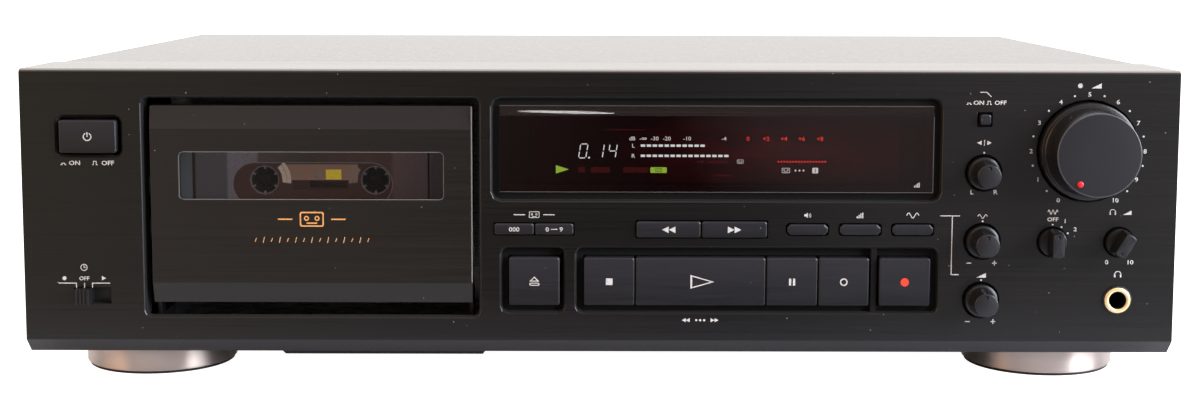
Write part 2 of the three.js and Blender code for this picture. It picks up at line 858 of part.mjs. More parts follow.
function bottomChassis() {
  const rear = rearInside - gap;
  const floor = box(-chassisHalf, chassisHalf, chassisFront, rear, 0, sheet);
  const side = x => box(x, x + sheet, chassisFront, rear, sheet / 2, flangeHeight);
  const frontFlange = box(-chassisHalf, chassisHalf, chassisFront, chassisFront + sheet,
    sheet / 2, frontFlangeHeight);
  const emboss = {
    left: opening.left + embossFromOpening,
    right: opening.right + embossPastOpening,
    bottom: chassisFront + embossStart,
    top: chassisFront + embossStart + embossDepth,
  };
  const outerBowl = stack([
    { outline: plateOutline(emboss), y: -sheet / 2 },
    { outline: plateOutline(grown(emboss, -embossRamp)), y: embossDrop },
  ]).rotateX(-Math.PI / 2);
  const innerBowl = stack([
    { outline: plateOutline(grown(emboss, -sheet)), y: -sheet - overrun },
    { outline: plateOutline(grown(emboss, -sheet)), y: -sheet / 2 },
    { outline: plateOutline(grown(emboss, -sheet - embossRamp)), y: embossDrop - sheet },
  ]).rotateX(-Math.PI / 2);
  const standoffs = mainBoardCorners().map(([x, y]) => post(x, y, standoffRadius, sheet / 2,
    boardBottom, smallSides));
  const vents = [-1, 1].flatMap(way => Array.from({ length: ventCount }, (_, i) => {
    const x = way * (i + 1) * ventPitch;
    const y = rear - ventFromRear;
    return box(x - ventWidth / 2, x + ventWidth / 2, y, y + ventLength, -overrun, sheet + overrun);
  }));
  const pan = join(floor, side(-chassisHalf), side(chassisHalf - sheet), frontFlange, outerBowl);
  add('bottom_chassis', join(cut(pan, innerBowl, ...vents), ...standoffs), coverPaint);
}

function mainBoardArea() {
  return {
    left: mainBoardLeft,
    right: halfWidth - mainBoardRight,
    front: mainBoardFront,
    rear: rearInside - mainBoardRear,
  };
}

function mainBoardCorners() {
  const area = mainBoardArea();
  const inset = standoffRadius * 2;
  return [area.left + inset, area.right - inset].flatMap(
    x => [area.front + inset, area.rear - inset].map(y => [x, y]));
}

function socketPlaces() {
  return [-1, 1].flatMap(column => [0, 1].map(
    row => [socketX + column * socketPitchX / 2, socketZ + row * socketPitchZ]));
}

function rearPanel() {
  const bottom = sheet + gap;
  const top = coverTop - sheet - gap;
  const outer = box(-rearHalf, rearHalf, rearInside - rearFlange, rearFace, bottom, top);
  const inner = box(-rearHalf + sheet, rearHalf - sheet, rearInside - rearFlange - overrun,
    rearInside, bottom - overrun, top - sheet);
  const sideRelief = [-1, 1].map(way => box(
    way > 0 ? chassisHalf - sheet - gap : -rearHalf - overrun,
    way > 0 ? rearHalf + overrun : -chassisHalf + sheet + gap,
    rearInside - rearFlange - overrun, rearInside, bottom - overrun, flangeHeight + gap));
  const socketHoles = socketPlaces().map(([x, z]) => barrel(x, z, socketRadius + gap,
    rearInside - overrun, rearFace + overrun, smallSides));
  const cordHole = barrel(bushingX, bushingRise, bushingNeck + gap, rearInside - overrun,
    rearFace + overrun, wheelSides);
  add('rear_panel', cut(outer, inner, ...sideRelief, ...socketHoles, cordHole), coverPaint);
}

function feet() {
  const names = { front: footFromEnd, rear: cabinetDepth - footFromEnd };
  const profile = [
    [0, 0], [footRadius, 0], [footRadius, -footHeight + footPadHeight + footEdge],
    [footRadius - footEdge, -footHeight + footPadHeight],
    [footPadRadius, -footHeight + footPadHeight], [footPadRadius, -footHeight],
    [footRadius - footWall, -footHeight], [footRadius - footWall, -footHeight + footHollow],
    [0, -footHeight + footHollow],
  ];
  for (const [end, y] of Object.entries(names)) {
    for (const [side, way] of [['left', -1], ['right', 1]]) {
      const foot = turned(profile, footSides).rotateX(Math.PI / 2);
      const mesh = add(`foot_${end}_${side}`, foot, champagne);
      mesh.position.set(way * (halfWidth - footFromSide), y, 0);
    }
  }
}

// Display: bevelled glass in its recess, the tube behind it and the board that carries the tube
function displayUnit() {
  const glass = grown(display, -displayMargin);
  const back = displayDepth - gap;
  const profile = [
    [glassFront, glass.bottom + glassEdge], [glassFront + glassEdge, glass.bottom],
    [back, glass.bottom], [back, glass.top], [glassFront + glassSlope, glass.top],
    [glassFront, glass.top - glassBevel],
  ];
  add('display_window', runAcross(profile, glass.left, glass.right), smokedGlass);
  const tube = grown(display, -displayMargin - tubeInset);
  add('display_tube', box(tube.left + tubeMargin, tube.right - tubeMargin,
    boardFace - gap - tubeDepth, boardFace - gap, tube.bottom, tube.top), tubeGlass);
  add('display_board', box(displayBoard.left, displayBoard.right, boardFace,
    boardFace + boardThick, displayBoard.bottom, displayBoard.top), circuitBoard);
}

function keyBoardUnit() {
  const sheetOfBoard = box(keyBoard.left, keyBoard.right, boardFace, boardFace + boardThick,
    keyBoard.bottom, keyBoard.top);
  const onBoard = keys.filter(({ name }) => name !== 'power_button' && name !== 'filter_button');
  const switches = onBoard.map(({ area }) => {
    const [x, z] = [(area.left + area.right) / 2, (area.bottom + area.top) / 2];
    return box(x - switchSize / 2, x + switchSize / 2, switchFace, boardFace + boardThick / 2,
      z - switchSize / 2, z + switchSize / 2);
  });
  add('key_board', join(sheetOfBoard, ...switches), circuitBoard);
}

// Power switch and timer switch, clipped behind the left column
function leftSwitches() {
  const face = switchFace - gap;
  const body = box(powerX - powerSwitchWidth / 2, powerX + powerSwitchWidth / 2, face + gap,
    face + gap + powerSwitchDepth, powerZ - powerSwitchHeight / 2, powerZ + powerSwitchHeight / 2);
  const shelfTop = powerRecess.bottom - pocketFloor - gap;
  const shelf = box(powerX - powerSwitchWidth / 2, powerX + powerSwitchWidth / 2, panelWall + gap,
    face + gap + powerSwitchDepth / 2, shelfTop - holderWall, shelfTop);
  const riser = box(powerX - powerSwitchWidth / 2, powerX + powerSwitchWidth / 2,
    face + gap, face + gap + holderWall, shelfTop - holderWall, powerZ);
  add('power_switch', join(body, shelf, riser), blackPlastic);

  // The timer slider rests at the left end of its slot
  const sliderX = powerX - timerTravel;
  const slider = around(sliderX, timerZ, timerKnobWidth, timerSlotHeight - 2 * gap);
  const knob = box(slider.left, slider.right, -timerKnobReach, panelWall + gap + keyFlange,
    slider.bottom, slider.top);
  const pitch = timerKnobWidth / timerRibs;
  const grooves = Array.from({ length: timerRibs - 1 }, (_, i) => {
    const x = slider.left + (i + 1) * pitch;
    return box(x - pitch / 4, x + pitch / 4, -timerKnobReach - overrun,
      -timerKnobReach + timerRibDepth, slider.bottom - overrun, slider.top + overrun);
  });
  const reach = 2 * timerTravel + timerFlangeReach;
  const flange = box(slider.left - reach, slider.right + reach, panelWall + gap,
    panelWall + gap + keyFlange, slider.bottom - timerFlangeReach, slider.top + timerFlangeReach);
  const stem = box(sliderX - timerStem / 2, sliderX + timerStem / 2, panelWall + gap,
    panelWall + gap + keyFlange + timerSwitchDepth / 2, timerZ - timerStem / 2, timerZ + timerStem / 2);
  add('timer_slider', join(cut(knob, ...grooves), flange, stem), blackPlastic);

  const bodyFront = panelWall + 2 * gap + keyFlange;
  const half = timerTravel + timerStem / 2 + timerFlangeReach;
  const housing = box(powerX - half - timerFlangeReach, powerX + half + timerFlangeReach, bodyFront,
    bodyFront + timerSwitchDepth, timerZ - timerSlotHeight / 2, timerZ + timerSlotHeight / 2);
  const channel = box(powerX - half, powerX + half, bodyFront - overrun,
    bodyFront + timerSwitchDepth / 2, timerZ - timerStem / 2 - gap, timerZ + timerStem / 2 + gap);
  add('timer_switch', cut(housing, channel), blackPlastic);
}

// Rotary controls
function shaftPoints(hubRadius) {
  return [[hubRadius, knobBack], [shaftRadius, knobBack], [shaftRadius, shaftEnd], [0, shaftEnd]];
}

function smallKnobs() {
  const profile = [
    [0, -smallReach], [smallFaceRadius - keyChamfer, -smallReach],
    [smallFaceRadius, -smallReach + keyChamfer], [smallBodyRadius, -smallSkirtReach],
    [smallSkirtRadius - keyChamfer, -smallSkirtReach],
    [smallSkirtRadius, -smallSkirtReach + keyChamfer], ...shaftPoints(smallSkirtRadius),
  ];
  const dimple = new THREE.SphereGeometry(smallDimple, dimpleSides, dimpleSides / 2)
    .translate(0, -smallReach, smallFaceRadius * dimpleOrbitShare);
  for (const [name, share] of Object.entries(smallKnobRiseShares)) {
    const mesh = add(name, cut(turned(profile), dimple), blackPlastic);
    mesh.position.set(smallX, 0, share * panelHeight);
  }
}

function barKnobs() {
  const disc = turned([
    [0, -barDiscReach], [barRadius - keyChamfer, -barDiscReach],
    [barRadius, -barDiscReach + keyChamfer], ...shaftPoints(barRadius),
  ]);
  const grip = meet(
    turned([[0, -barReach], [barRadius - 2 * keyChamfer, -barReach],
      [barRadius, -barDiscReach + keyChamfer], [0, -barDiscReach + keyChamfer]]),
    box(-barWidth / 2, barWidth / 2, -barReach - overrun, 0, -barRadius, barRadius));
  const notch = box(-barNotch / 2, barNotch / 2, -barReach - overrun, -barReach + barNotch,
    barRadius / 2, barRadius);
  const knob = cut(join(disc, grip), notch);
  const rise = barKnobRiseShare * panelHeight;
  add('selector_knob', knob, blackPlastic).position.set(halfWidth - selectorColumn, 0, rise);
  const phone = add('phone_level_knob', knob, blackPlastic);
  phone.position.set(halfWidth - phoneColumn, 0, rise);
  phone.rotation.y = barTurnShare * 2 * Math.PI + Math.PI;
}

function levelKnob() {
  const profile = [
    [0, -levelReach], [levelFaceRadius - keyChamfer, -levelReach],
    [levelFaceRadius, -levelReach + keyChamfer], [levelBodyRadius, -levelSkirtReach],
    [levelSkirtRadius - keyChamfer, -levelSkirtReach],
    [levelSkirtRadius, -levelSkirtReach + 2 * keyChamfer], [levelSkirtRadius, knobBack],
    [levelSkirtRadius - levelSkirtWall, knobBack],
    [levelSkirtRadius - levelSkirtWall, -levelSkirtReach + levelShellWall],
    [levelBodyRadius - levelShellWall, -levelSkirtReach + levelShellWall],
    [levelFaceRadius - levelShellWall, -levelReach + levelShellWall],
    [levelHubRadius, -levelReach + levelShellWall], ...shaftPoints(levelHubRadius),
  ];
  const assembly = new THREE.Group();
  assembly.position.set(levelX, 0, levelZ);
  cabinet.add(assembly);
  add('level_knob', turned(profile, footSides), blackPlastic, assembly);
  const dot = turned([
    [0, -levelReach - levelDotDome],
    [levelDotRadius / 2, -levelReach - levelDotDome * domeShoulderShare],
    [levelDotRadius * domeShoulderShare, -levelReach - levelDotDome / 2],
    [levelDotRadius, -levelReach], [0, -levelReach],
  ], smallSides);
  const angle = levelRestShare * 2 * Math.PI;
  add('level_knob_dot', dot, redPaint, assembly).position.set(-levelDotOrbit * Math.sin(angle), 0,
    levelDotOrbit * Math.cos(angle));
}

function potBoardUnit() {
  const front = potDepth + potBodyDepth;
  const back = front + boardThick;
  const whole = box(potBoard.left, potBoard.right, front, back, potBoard.bottom, potBoard.top);
  const jackRelief = box(smallX + potBoardMargin, potBoard.right + overrun, front - overrun,
    back + overrun, potBoard.bottom - overrun, jackZ + jackBodyWidth / 2 + gap);
  const places = [
    ...Object.values(smallKnobRiseShares).map(share => [smallX, share * panelHeight, potSize]),
    [halfWidth - selectorColumn, barKnobRiseShare * panelHeight, potSize],
    [halfWidth - phoneColumn, barKnobRiseShare * panelHeight, potSize],
    [levelX, levelZ, levelPotSize],
  ];
  const bodies = places.map(([x, z, size]) => join(
    box(x - size / 2, x + size / 2, potDepth, front + boardThick / 2, z - size / 2, z + size / 2),
    barrel(x, z, bushingRadius, bushingFront, potDepth + gap, smallSides)));
  const bores = places.map(([x, z]) => barrel(x, z, shaftRadius + gap, bushingFront - overrun,
    shaftEnd + gap, smallSides));
  const filterSwitch = box(smallX - switchSize / 2, smallX + switchSize / 2, potDepth,
    front + boardThick / 2, filterZ - switchSize / 2, filterZ + switchSize / 2);
  add('pot_board', cut(join(cut(whole, jackRelief), ...bodies, filterSwitch), ...bores),
    circuitBoard);
}

function headphoneJack() {
  const front = panelWall + gap;
  const neck = jackRingRadius - recessLip - gap;
  const ring = turned([
    [0, -jackRingReach], [jackRingRadius - keyChamfer, -jackRingReach],
    [jackRingRadius, -jackRingReach + keyChamfer], [jackRingRadius, -gap / 2], [neck, -gap / 2],
    [neck, front + gap], [0, front + gap],
  ]).translate(jackX, 0, jackZ);
  const body = box(jackX - jackBodyWidth / 2, jackX + jackBodyWidth / 2, front,
    front + jackBodyDepth, jackZ - jackBodyWidth / 2, jackZ + jackBodyWidth / 2);
  const bore = barrel(jackX, jackZ, jackHoleRadius, -jackRingReach - overrun, jackBoreDepth);
  add('headphone_jack', cut(join(ring, body), bore), blackPlastic);
}

// Door with its window, the holder behind it and the cassette in the holder
function doorUnit() {
  const wallBack = doorFront + doorWall;
  const outside = runAcross([
    [doorFront + doorSlopeBelow, door.bottom], [doorFront, door.bottom + doorFoldBelow],
    [doorFront, door.top - doorFoldAbove], [doorFront + doorSlopeAbove, door.top],
    [doorDepth, door.top], [doorDepth, door.bottom],
  ], door.left, door.right);
  const inside = box(door.left + doorSkirt, door.right - doorSkirt, wallBack, doorDepth + overrun,
    door.bottom + doorSkirt, door.top - doorSkirt);
  const window = {
    left: cassetteX - windowHalfWidth,
    right: cassetteX + windowHalfWidth,
    bottom: hubZ - windowBelowHub,
    top: hubZ + windowAboveHub,
  };
  const arms = [[door.left, -1], [door.right - doorSkirt, 1]].map(([x, way]) => {
    const end = way < 0 ? x : x + doorSkirt;
    const reach = end + way * (hingeEarWall + 2 * gap);
    return join(
      box(x, x + doorSkirt, hingeArmFront, hingeArmBack, hingeHeight, hingeArmTop),
      pinAcross(hingeDepth, hingeHeight, hingeEyeRadius, x, x + doorSkirt),
      pinAcross(hingeDepth, hingeHeight, hingePinRadius, Math.min(reach, end - way * gap),
        Math.max(reach, end - way * gap)));
  });
  const hole = slab(plateOutline(window, windowCorner), -overrun, wallBack + overrun);
  add('door_panel', join(cut(outside, inside, hole), ...arms), doorPlastic);

  const plug = slab(plateOutline(grown(window, -gap), windowCorner - gap),
    doorFront + windowSetback, wallBack + gap + windowThick / 2);
  const flange = slab(plateOutline(grown(window, windowFlange)), wallBack + gap,
    wallBack + gap + windowThick);
  add('door_window', join(plug, flange), clearGlass);
}

function cassetteHolder() {
  const plateFront = doorDepth + gap;
  const plateBack = plateFront + holderPlate;
  const plate = box(door.left + doorSkirt / 2, door.right - doorSkirt / 2, plateFront, plateBack,
    cassetteBottom, door.top - doorGapAbove / 2);
  const view = box(cassetteLeft, cassetteRight, plateFront - overrun, plateBack + overrun,
    hubZ - holderWindowDrop, hubZ - holderWindowDrop + holderWindowHeight);
  const railBack = cassetteBack + gap + holderWall;
  const railFront = cassetteFront - gap - holderWall;
  const rails = [[cassetteLeft, -1], [cassetteRight, 1]].map(([edge, way]) => {
    const outer = edge + way * (gap + holderWall);
    const inner = edge - way * holderLip;
    const rail = box(Math.min(outer, inner), Math.max(outer, inner), railFront, railBack,
      cassetteBottom + railBottomRise, cassetteTop - railTopDrop);
    const web = box(Math.min(outer, edge + way * gap), Math.max(outer, edge + way * gap),
      plateFront, railFront + holderWall, cassetteBottom + railBottomRise, cassetteTop - railTopDrop);
    const foot = box(Math.min(outer, edge - way * ledgeLength),
      Math.max(outer, edge - way * ledgeLength), railFront, railBack,
      cassetteBottom - gap - holderWall, cassetteBottom - gap);
    const heel = box(Math.min(outer, edge + way * gap), Math.max(outer, edge + way * gap),
      railFront, railBack, cassetteBottom - gap - holderWall, cassetteBottom + railBottomRise + gap);
    return join(rail, web, foot, heel);
  });
  const room = box(cassetteLeft - gap, cassetteRight + gap, cassetteFront - gap,
    cassetteBack + gap, cassetteBottom - gap, cassetteTop + gap);
  add('cassette_holder', cut(join(cut(plate, view), ...rails), room), blackPlastic);
}

function cassette() {
  const outline = { left: cassetteLeft, right: cassetteRight, bottom: cassetteBottom, top: cassetteTop };
  const body = slab(plateOutline(outline, cassetteCorner), cassetteFront, cassetteBack);
  const headHalf = cassetteHeadThick / 2;
  const ramp = cassetteWidth * headEndShare;
  const shoulder = cassetteBottom + cassetteHeight * headEndHeightShare;
  const headEnd = slab([
    new THREE.Vector2(cassetteX - ramp, cassetteBottom),
    new THREE.Vector2(cassetteX + ramp, cassetteBottom),
    new THREE.Vector2(cassetteX + ramp * headEndTaperShare, shoulder),
    new THREE.Vector2(cassetteX - ramp * headEndTaperShare, shoulder),
  ], cassetteY - headHalf, cassetteY + headHalf);
  const thin = cassetteThick / 2 - cassetteWall;
  const hollow = slab(plateOutline(grown(outline, -cassetteWall), cassetteWall), cassetteY - thin,
    cassetteY + thin);
  const mouth = (x, width) => box(x - width / 2, x + width / 2,
    cassetteY - headShare * headHalf, cassetteY + headShare * headHalf,
    cassetteBottom - overrun, cassetteBottom + headSlotDepth);
  const through = (x, z, radius) => barrel(x, z, radius, cassetteY - headHalf - overrun,
    cassetteY + headHalf + overrun, wheelSides);
  const hubs = [-1, 1].map(way => through(cassetteX + way * hubSpacing / 2, hubZ, hubHoleRadius));
  const capstans = [-1, 1].map(way => through(cassetteX + way * capstanOffset, capstanZ,
    capstanHoleRadius));
  const sightArea = around(cassetteX, hubZ + hubHoleRadius * sightRiseShare, hubSpacing / 2,
    hubHoleRadius * sightHeightShare);
  const sight = slab(plateOutline(sightArea, cassetteWall / 2), cassetteY - headHalf - overrun,
    cassetteY + headHalf + overrun);
  const mouths = [
    mouth(cassetteX, headSlotWidth),
    mouth(cassetteX - capstanOffset, rollerSlotWidth),
    mouth(cassetteX + capstanOffset, rollerSlotWidth),
  ];
  const shell = cut(join(body, headEnd), hollow, ...mouths, ...hubs, ...capstans, sight);
  add('cassette_shell', shell, shellPlastic);

  const collar = cassetteThick / 2 - gap / 2;
  const tape = thin - 2 * gap;
  for (const [side, way] of [['left', -1], ['right', 1]]) {
    const tapeRadius = cassetteWidth * tapeRadiusShares[side];
    const collarRadius = hubHoleRadius - gap;
    const bore = hubHoleRadius * reelBoreShare;
    const ring = new THREE.LatheGeometry([
      [bore, -collar], [collarRadius, -collar], [collarRadius, -tape], [tapeRadius, -tape],
      [tapeRadius, tape], [collarRadius, tape], [collarRadius, collar], [bore, collar],
      [bore, -collar],
    ].map(([r, y]) => new THREE.Vector2(r, y)), roundSides);
    const toothTip = hubHoleRadius * reelToothShare;
    const teeth = Array.from({ length: reelTeeth }, (_, i) => box(toothTip, bore + gap,
      -collar + gap, collar - gap, -reelToothWidth / 2, reelToothWidth / 2)
      .rotateY(i / reelTeeth * 2 * Math.PI));
    const mesh = add(`cassette_reel_${side}`, join(ring, ...teeth), hubPlastic);
    mesh.position.set(cassetteX + way * hubSpacing / 2, cassetteY, hubZ);
  }
}

// Tape transport: plate, spindles, capstan drive and head carriage
function transportPlate() {
  const back = plateDepth + plateThick;
  const bottom = sheet + gap;
  const plate = box(door.left, door.right, plateDepth, back, bottom, opening.top + plateMarginTop);
  const foot = box(door.left, door.right, plateDepth, back + plateFoot, bottom, bottom + plateThick);
  const capstanBoss = barrel(capstanX, capstanZ, capstanBossRadius, back - plateThick / 2,
    back + capstanBossLength);
  const guidePins = [-1, 1].map(way => barrel(cassetteX + way * guidePinOffset,
    carriageMid(), guidePinRadius, plateDepth - guidePinReach, plateDepth + plateThick / 2, smallSides));
  const earBottom = frontFlangeHeight + gap;
  const ears = [-1, 1].map(way => {
    const inner = way < 0 ? door.left - gap : door.right + gap;
    const outer = inner + way * hingeEarWall;
    const [x0, x1] = [Math.min(inner, outer), Math.max(inner, outer)];
    return cut(
      join(box(x0, x1, hingeDepth - hingeEyeRadius, back, earBottom, hingeHeight + hingeEyeRadius),
        box(way < 0 ? x0 : door.right - overrun, way < 0 ? door.left + overrun : x1, plateDepth,
          back, bottom, hingeHeight + hingeEyeRadius)),
      pinAcross(hingeDepth, hingeHeight, hingePinRadius + gap, x0 - overrun, x1 + overrun));
  });
  const bores = [
    ...[-1, 1].map(way => barrel(cassetteX + way * hubSpacing / 2, hubZ, spindleShaftRadius + gap,
      plateDepth - overrun, back + overrun, smallSides)),
    barrel(capstanX, capstanZ, capstanRadius + gap, plateDepth - overrun,
      back + capstanBossLength + overrun, smallSides),
  ];
  add('transport_plate', cut(join(plate, foot, capstanBoss, ...guidePins, ...ears), ...bores), steel);
}

function carriageTop() {
  return cassetteBottom - headClear;
}

function carriageMid() {
  return carriageTop() - headHeight;
}

function spindles() {
  const tip = cassetteBack - spindleDepth;
  const tableBack = plateDepth - gap;
  const collarFront = plateDepth + plateThick + gap;
  const profile = [
    [0, tip], [spindleTipRadius, tip + gap],
    [spindleBaseRadius, cassetteBack], [spindleBaseRadius, tableBack - spindleTableThick],
    [spindleTableRadius, tableBack - spindleTableThick], [spindleTableRadius, tableBack],
    [spindleShaftRadius, tableBack], [spindleShaftRadius, collarFront],
    [spindleCollarRadius, collarFront], [spindleCollarRadius, collarFront + spindleCollarThick],
    [spindleShaftRadius, collarFront + spindleCollarThick], [spindleShaftRadius, spindleShaftEnd],
    [0, spindleShaftEnd],
  ];
  for (const [side, way] of [['left', -1], ['right', 1]]) {
    add(`reel_spindle_${side}`, turned(profile, wheelSides), blackPlastic)
      .position.set(cassetteX + way * hubSpacing / 2, 0, hubZ);
  }
}

const wheelFront = plateDepth + plateThick + capstanBossLength + gap;
const motorCentre = capstanX - motorX;

function capstanDrive() {
  const wheelBack = wheelFront + flywheelThick;
  const webFront = wheelFront + (flywheelThick - flywheelWeb) / 2;
  const flywheel = turned([
    [0, headEndBack - capstanEntry], [capstanRadius - gap, headEndBack - capstanEntry],
    [capstanRadius, headEndBack - capstanEntry + gap], [capstanRadius, wheelFront],
    [capstanBossRadius, wheelFront], [capstanBossRadius, webFront],
    [flywheelRadius - flywheelRim, webFront], [flywheelRadius - flywheelRim, wheelFront],
    [flywheelRadius, wheelFront], [flywheelRadius, wheelBack],
    [flywheelRadius - flywheelRim, wheelBack],
    [flywheelRadius - flywheelRim, webFront + flywheelWeb],
    [capstanBossRadius, webFront + flywheelWeb], [capstanBossRadius, wheelBack], [0, wheelBack],
  ], footSides);
  add('capstan_flywheel', flywheel, steel).position.set(capstanX, 0, capstanZ);

  const plateFront = wheelBack + 2 * gap;
  const plateBack = plateFront + motorPlate;
  const pulley = turned([
    [0, wheelFront], [pulleyRadius + pulleyFlange, wheelFront],
    [pulleyRadius + pulleyFlange, wheelFront + (pulleyThick - beltWidth) / 2 - gap],
    [pulleyRadius, wheelFront + (pulleyThick - beltWidth) / 2 - gap],
    [pulleyRadius, wheelFront + (pulleyThick + beltWidth) / 2 + gap],
    [pulleyRadius + pulleyFlange, wheelFront + (pulleyThick + beltWidth) / 2 + gap],
    [pulleyRadius + pulleyFlange, wheelBack], [motorShaftRadius, wheelBack],
    [motorShaftRadius, plateBack + motorShaftReach], [0, plateBack + motorShaftReach],
  ], wheelSides);
  add('motor_pulley', pulley, gold).position.set(motorCentre, 0, capstanZ);

  const bracket = box(motorCentre - motorRadius, motorCentre + motorRadius, plateFront, plateBack,
    capstanZ - motorRadius, capstanZ + motorRadius);
  const can = barrel(motorCentre, capstanZ, motorRadius - motorPostRadius, plateBack - motorPlate / 2,
    plateBack + motorLength);
  const corner = motorRadius - motorPostRadius;
  const posts = [[-1, -1], [-1, 1], [0, -1], [0, 1]].map(([wayX, wayZ]) => barrel(
    motorCentre + wayX * corner, capstanZ + wayZ * corner, motorPostRadius,
    plateDepth + plateThick + gap, plateBack - motorPlate / 2, smallSides));
  const bore = barrel(motorCentre, capstanZ, motorShaftRadius + gap, plateFront - overrun,
    plateBack + motorShaftReach + motorPlate, smallSides);
  add('capstan_motor', cut(join(bracket, can, ...posts), bore), steel);

  // The belt runs round both wheels on their common tangents
  const loop = clearance => {
    const [small, large] = [pulleyRadius + clearance, flywheelRadius + clearance];
    const lean = Math.acos((large - small) / motorX);
    const arc = (x, radius, from, to, steps) => Array.from({ length: steps + 1 }, (_, i) => {
      const angle = from + (to - from) * i / steps;
      return new THREE.Vector2(x + radius * Math.cos(angle), capstanZ + radius * Math.sin(angle));
    });
    return [
      ...arc(capstanX, large, -Math.PI + lean, Math.PI - lean, roundSides),
      ...arc(motorCentre, small, Math.PI - lean, Math.PI + lean, smallSides),
    ];
  };
  const beltFront = wheelFront + (flywheelThick - beltWidth) / 2;
  const belt = cut(slab(loop(gap + beltThick), beltFront, beltFront + beltWidth),
    slab(loop(gap), beltFront - overrun, beltFront + beltWidth + overrun));
  add('drive_belt', belt, rubber);

  const reelMotor = join(
    barrel(cassetteX, hubZ + reelMotorRise, reelMotorRadius, plateDepth + plateThick + gap,
      plateDepth + plateThick + gap + reelMotorLength),
    barrel(cassetteX, hubZ + reelMotorRise, spindleCollarRadius,
      plateDepth + plateThick + reelMotorLength,
      plateDepth + plateThick + reelMotorLength + 2 * spindleCollarThick, smallSides));
  add('reel_motor', reelMotor, steel);
}

function headCarriage() {
  const plateBack = plateDepth - gap;
  const plateFront = plateBack - carriagePlate;
  const top = carriageTop();
  const mid = carriageMid();
  const plate = box(cassetteX - carriageHalfWidth, cassetteX + carriageHalfWidth, plateFront,
    plateBack, mid - carriageHeight / 2, mid + carriageHeight / 2 - gap);
  const headHalf = headShare * cassetteHeadThick / 2 - headSide;
  const head = (x, width) => join(
    box(x - width / 2, x + width / 2, cassetteY - headHalf, cassetteY + headHalf, mid, top),
    box(x - width / 2, x + width / 2, cassetteY, plateFront + carriagePlate / 2, mid,
      mid + carriagePlate * 2));
  const pin = barrel(capstanX, rollerZ(), rollerBore - gap, cassetteY - headHalf,
    plateFront + carriagePlate / 2, smallSides);
  const slots = [-1, 1].map(way => {
    const x = cassetteX + way * guidePinOffset;
    const area = {
      left: x - guidePinRadius - gap,
      right: x + guidePinRadius + gap,
      bottom: mid - guidePinRadius - carriageTravel - gap,
      top: mid + guidePinRadius + gap,
    };
    return slab(plateOutline(area, guidePinRadius), plateFront - overrun, plateBack + overrun);
  });
  const carriage = join(plate, head(cassetteX, headWidth),
    head(cassetteX - capstanOffset, eraseHeadWidth), pin);
  add('head_carriage', cut(carriage, ...slots), steel);
  const roller = cut(
    barrel(capstanX, rollerZ(), rollerRadius, cassetteY - headHalf + gap, cassetteY + headHalf),
    barrel(capstanX, rollerZ(), rollerBore, cassetteY - headHalf - overrun,
      cassetteY + headHalf + overrun, smallSides));
  add('pinch_roller', roller, rubber);
}

function rollerZ() {
  return carriageTop() - rollerRadius;
}

// Inside of the case
function mainBoardUnit() {
  const area = mainBoardArea();
  const sheetOfBoard = box(area.left, area.right, area.front, area.rear, boardBottom, boardTop);
  const capacitors = Array.from({ length: capacitorCount }, (_, i) => post(area.left + capacitorFromSide,
    area.rear - capacitorFromSide - i * capacitorPitch, capacitorRadius, boardTop - boardThick / 2,
    boardTop + capacitorHeight, wheelSides));
  const sinkX = area.left + capacitorFromSide * 2;
  const sinkY = area.rear - capacitorFromSide * 2;
  const sinkBack = box(sinkX, sinkX + heatSinkLength, sinkY, sinkY + heatSinkWall,
    boardTop - boardThick / 2, boardTop + heatSinkHeight);
  const finPitch = (heatSinkLength - heatSinkWall) / (heatSinkFins - 1);
  const fins = Array.from({ length: heatSinkFins }, (_, i) => box(sinkX + i * finPitch,
    sinkX + i * finPitch + heatSinkWall, sinkY + heatSinkWall / 2, sinkY + heatSinkFinDepth,
    boardTop - boardThick / 2, boardTop + heatSinkHeight));
  const chips = Array.from({ length: chipCount }, (_, i) => {
    const left = area.left + capacitorFromSide + i * (chipLength + chipWidth);
    return box(left, left + chipLength, area.front + capacitorFromSide,
      area.front + capacitorFromSide + chipWidth, boardTop - boardThick / 2, boardTop + chipHeight);
  });
  add('main_board', join(sheetOfBoard, ...capacitors, sinkBack, ...fins, ...chips), circuitBoard);
}

function transformer() {
  const x0 = -halfWidth + transformerFromSide;
  const y1 = rearInside - transformerFromRear;
  const y0 = y1 - transformerDepth;
  const x1 = x0 + transformerWidth;
  const bottom = sheet + gap;
  const core = box(x0, x1, y0 + transformerCoil, y1 - transformerCoil, bottom,
    bottom + transformerHeight);
  const coil = box(x0 + transformerCoil, x1 - transformerCoil, y0, y1, bottom + transformerCoil,
    bottom + transformerHeight - transformerCoil);
  const lugs = box(x0 - transformerLug, x1 + transformerLug, y0 + transformerCoil,
    y1 - transformerCoil, bottom, bottom + lugThick);
  add('power_transformer', join(core, coil, lugs), lacquer);
}

// Rear sockets and cord bushing
function rearSockets() {
  const blockBack = rearInside - gap;
  const blockFront = blockBack - socketBlockDepth;
  const block = box(socketX - socketPitchX / 2 - socketBlockMargin,
    socketX + socketPitchX / 2 + socketBlockMargin, blockFront, blockBack, boardTop + gap,
    socketZ + socketPitchZ + socketBlockMargin);
  const barrels = socketPlaces().map(([x, z]) => turned([
    [0, blockBack - gap], [socketRadius, blockBack - gap], [socketRadius, rearFace + gap],
    [socketCollarRadius, rearFace + gap], [socketCollarRadius, rearFace + gap + socketCollar],
    [socketRadius, rearFace + gap + socketCollar],
    [socketRadius, rearFace + socketReach - keyChamfer],
    [socketRadius - keyChamfer, rearFace + socketReach], [0, rearFace + socketReach],
  ], smallSides).translate(x, 0, z));
  const bores = socketPlaces().map(([x, z]) => barrel(x, z, socketBore, blockBack - overrun,
    rearFace + socketReach + overrun, smallSides));
  add('line_sockets', cut(join(block, ...barrels), ...bores), gold);
}

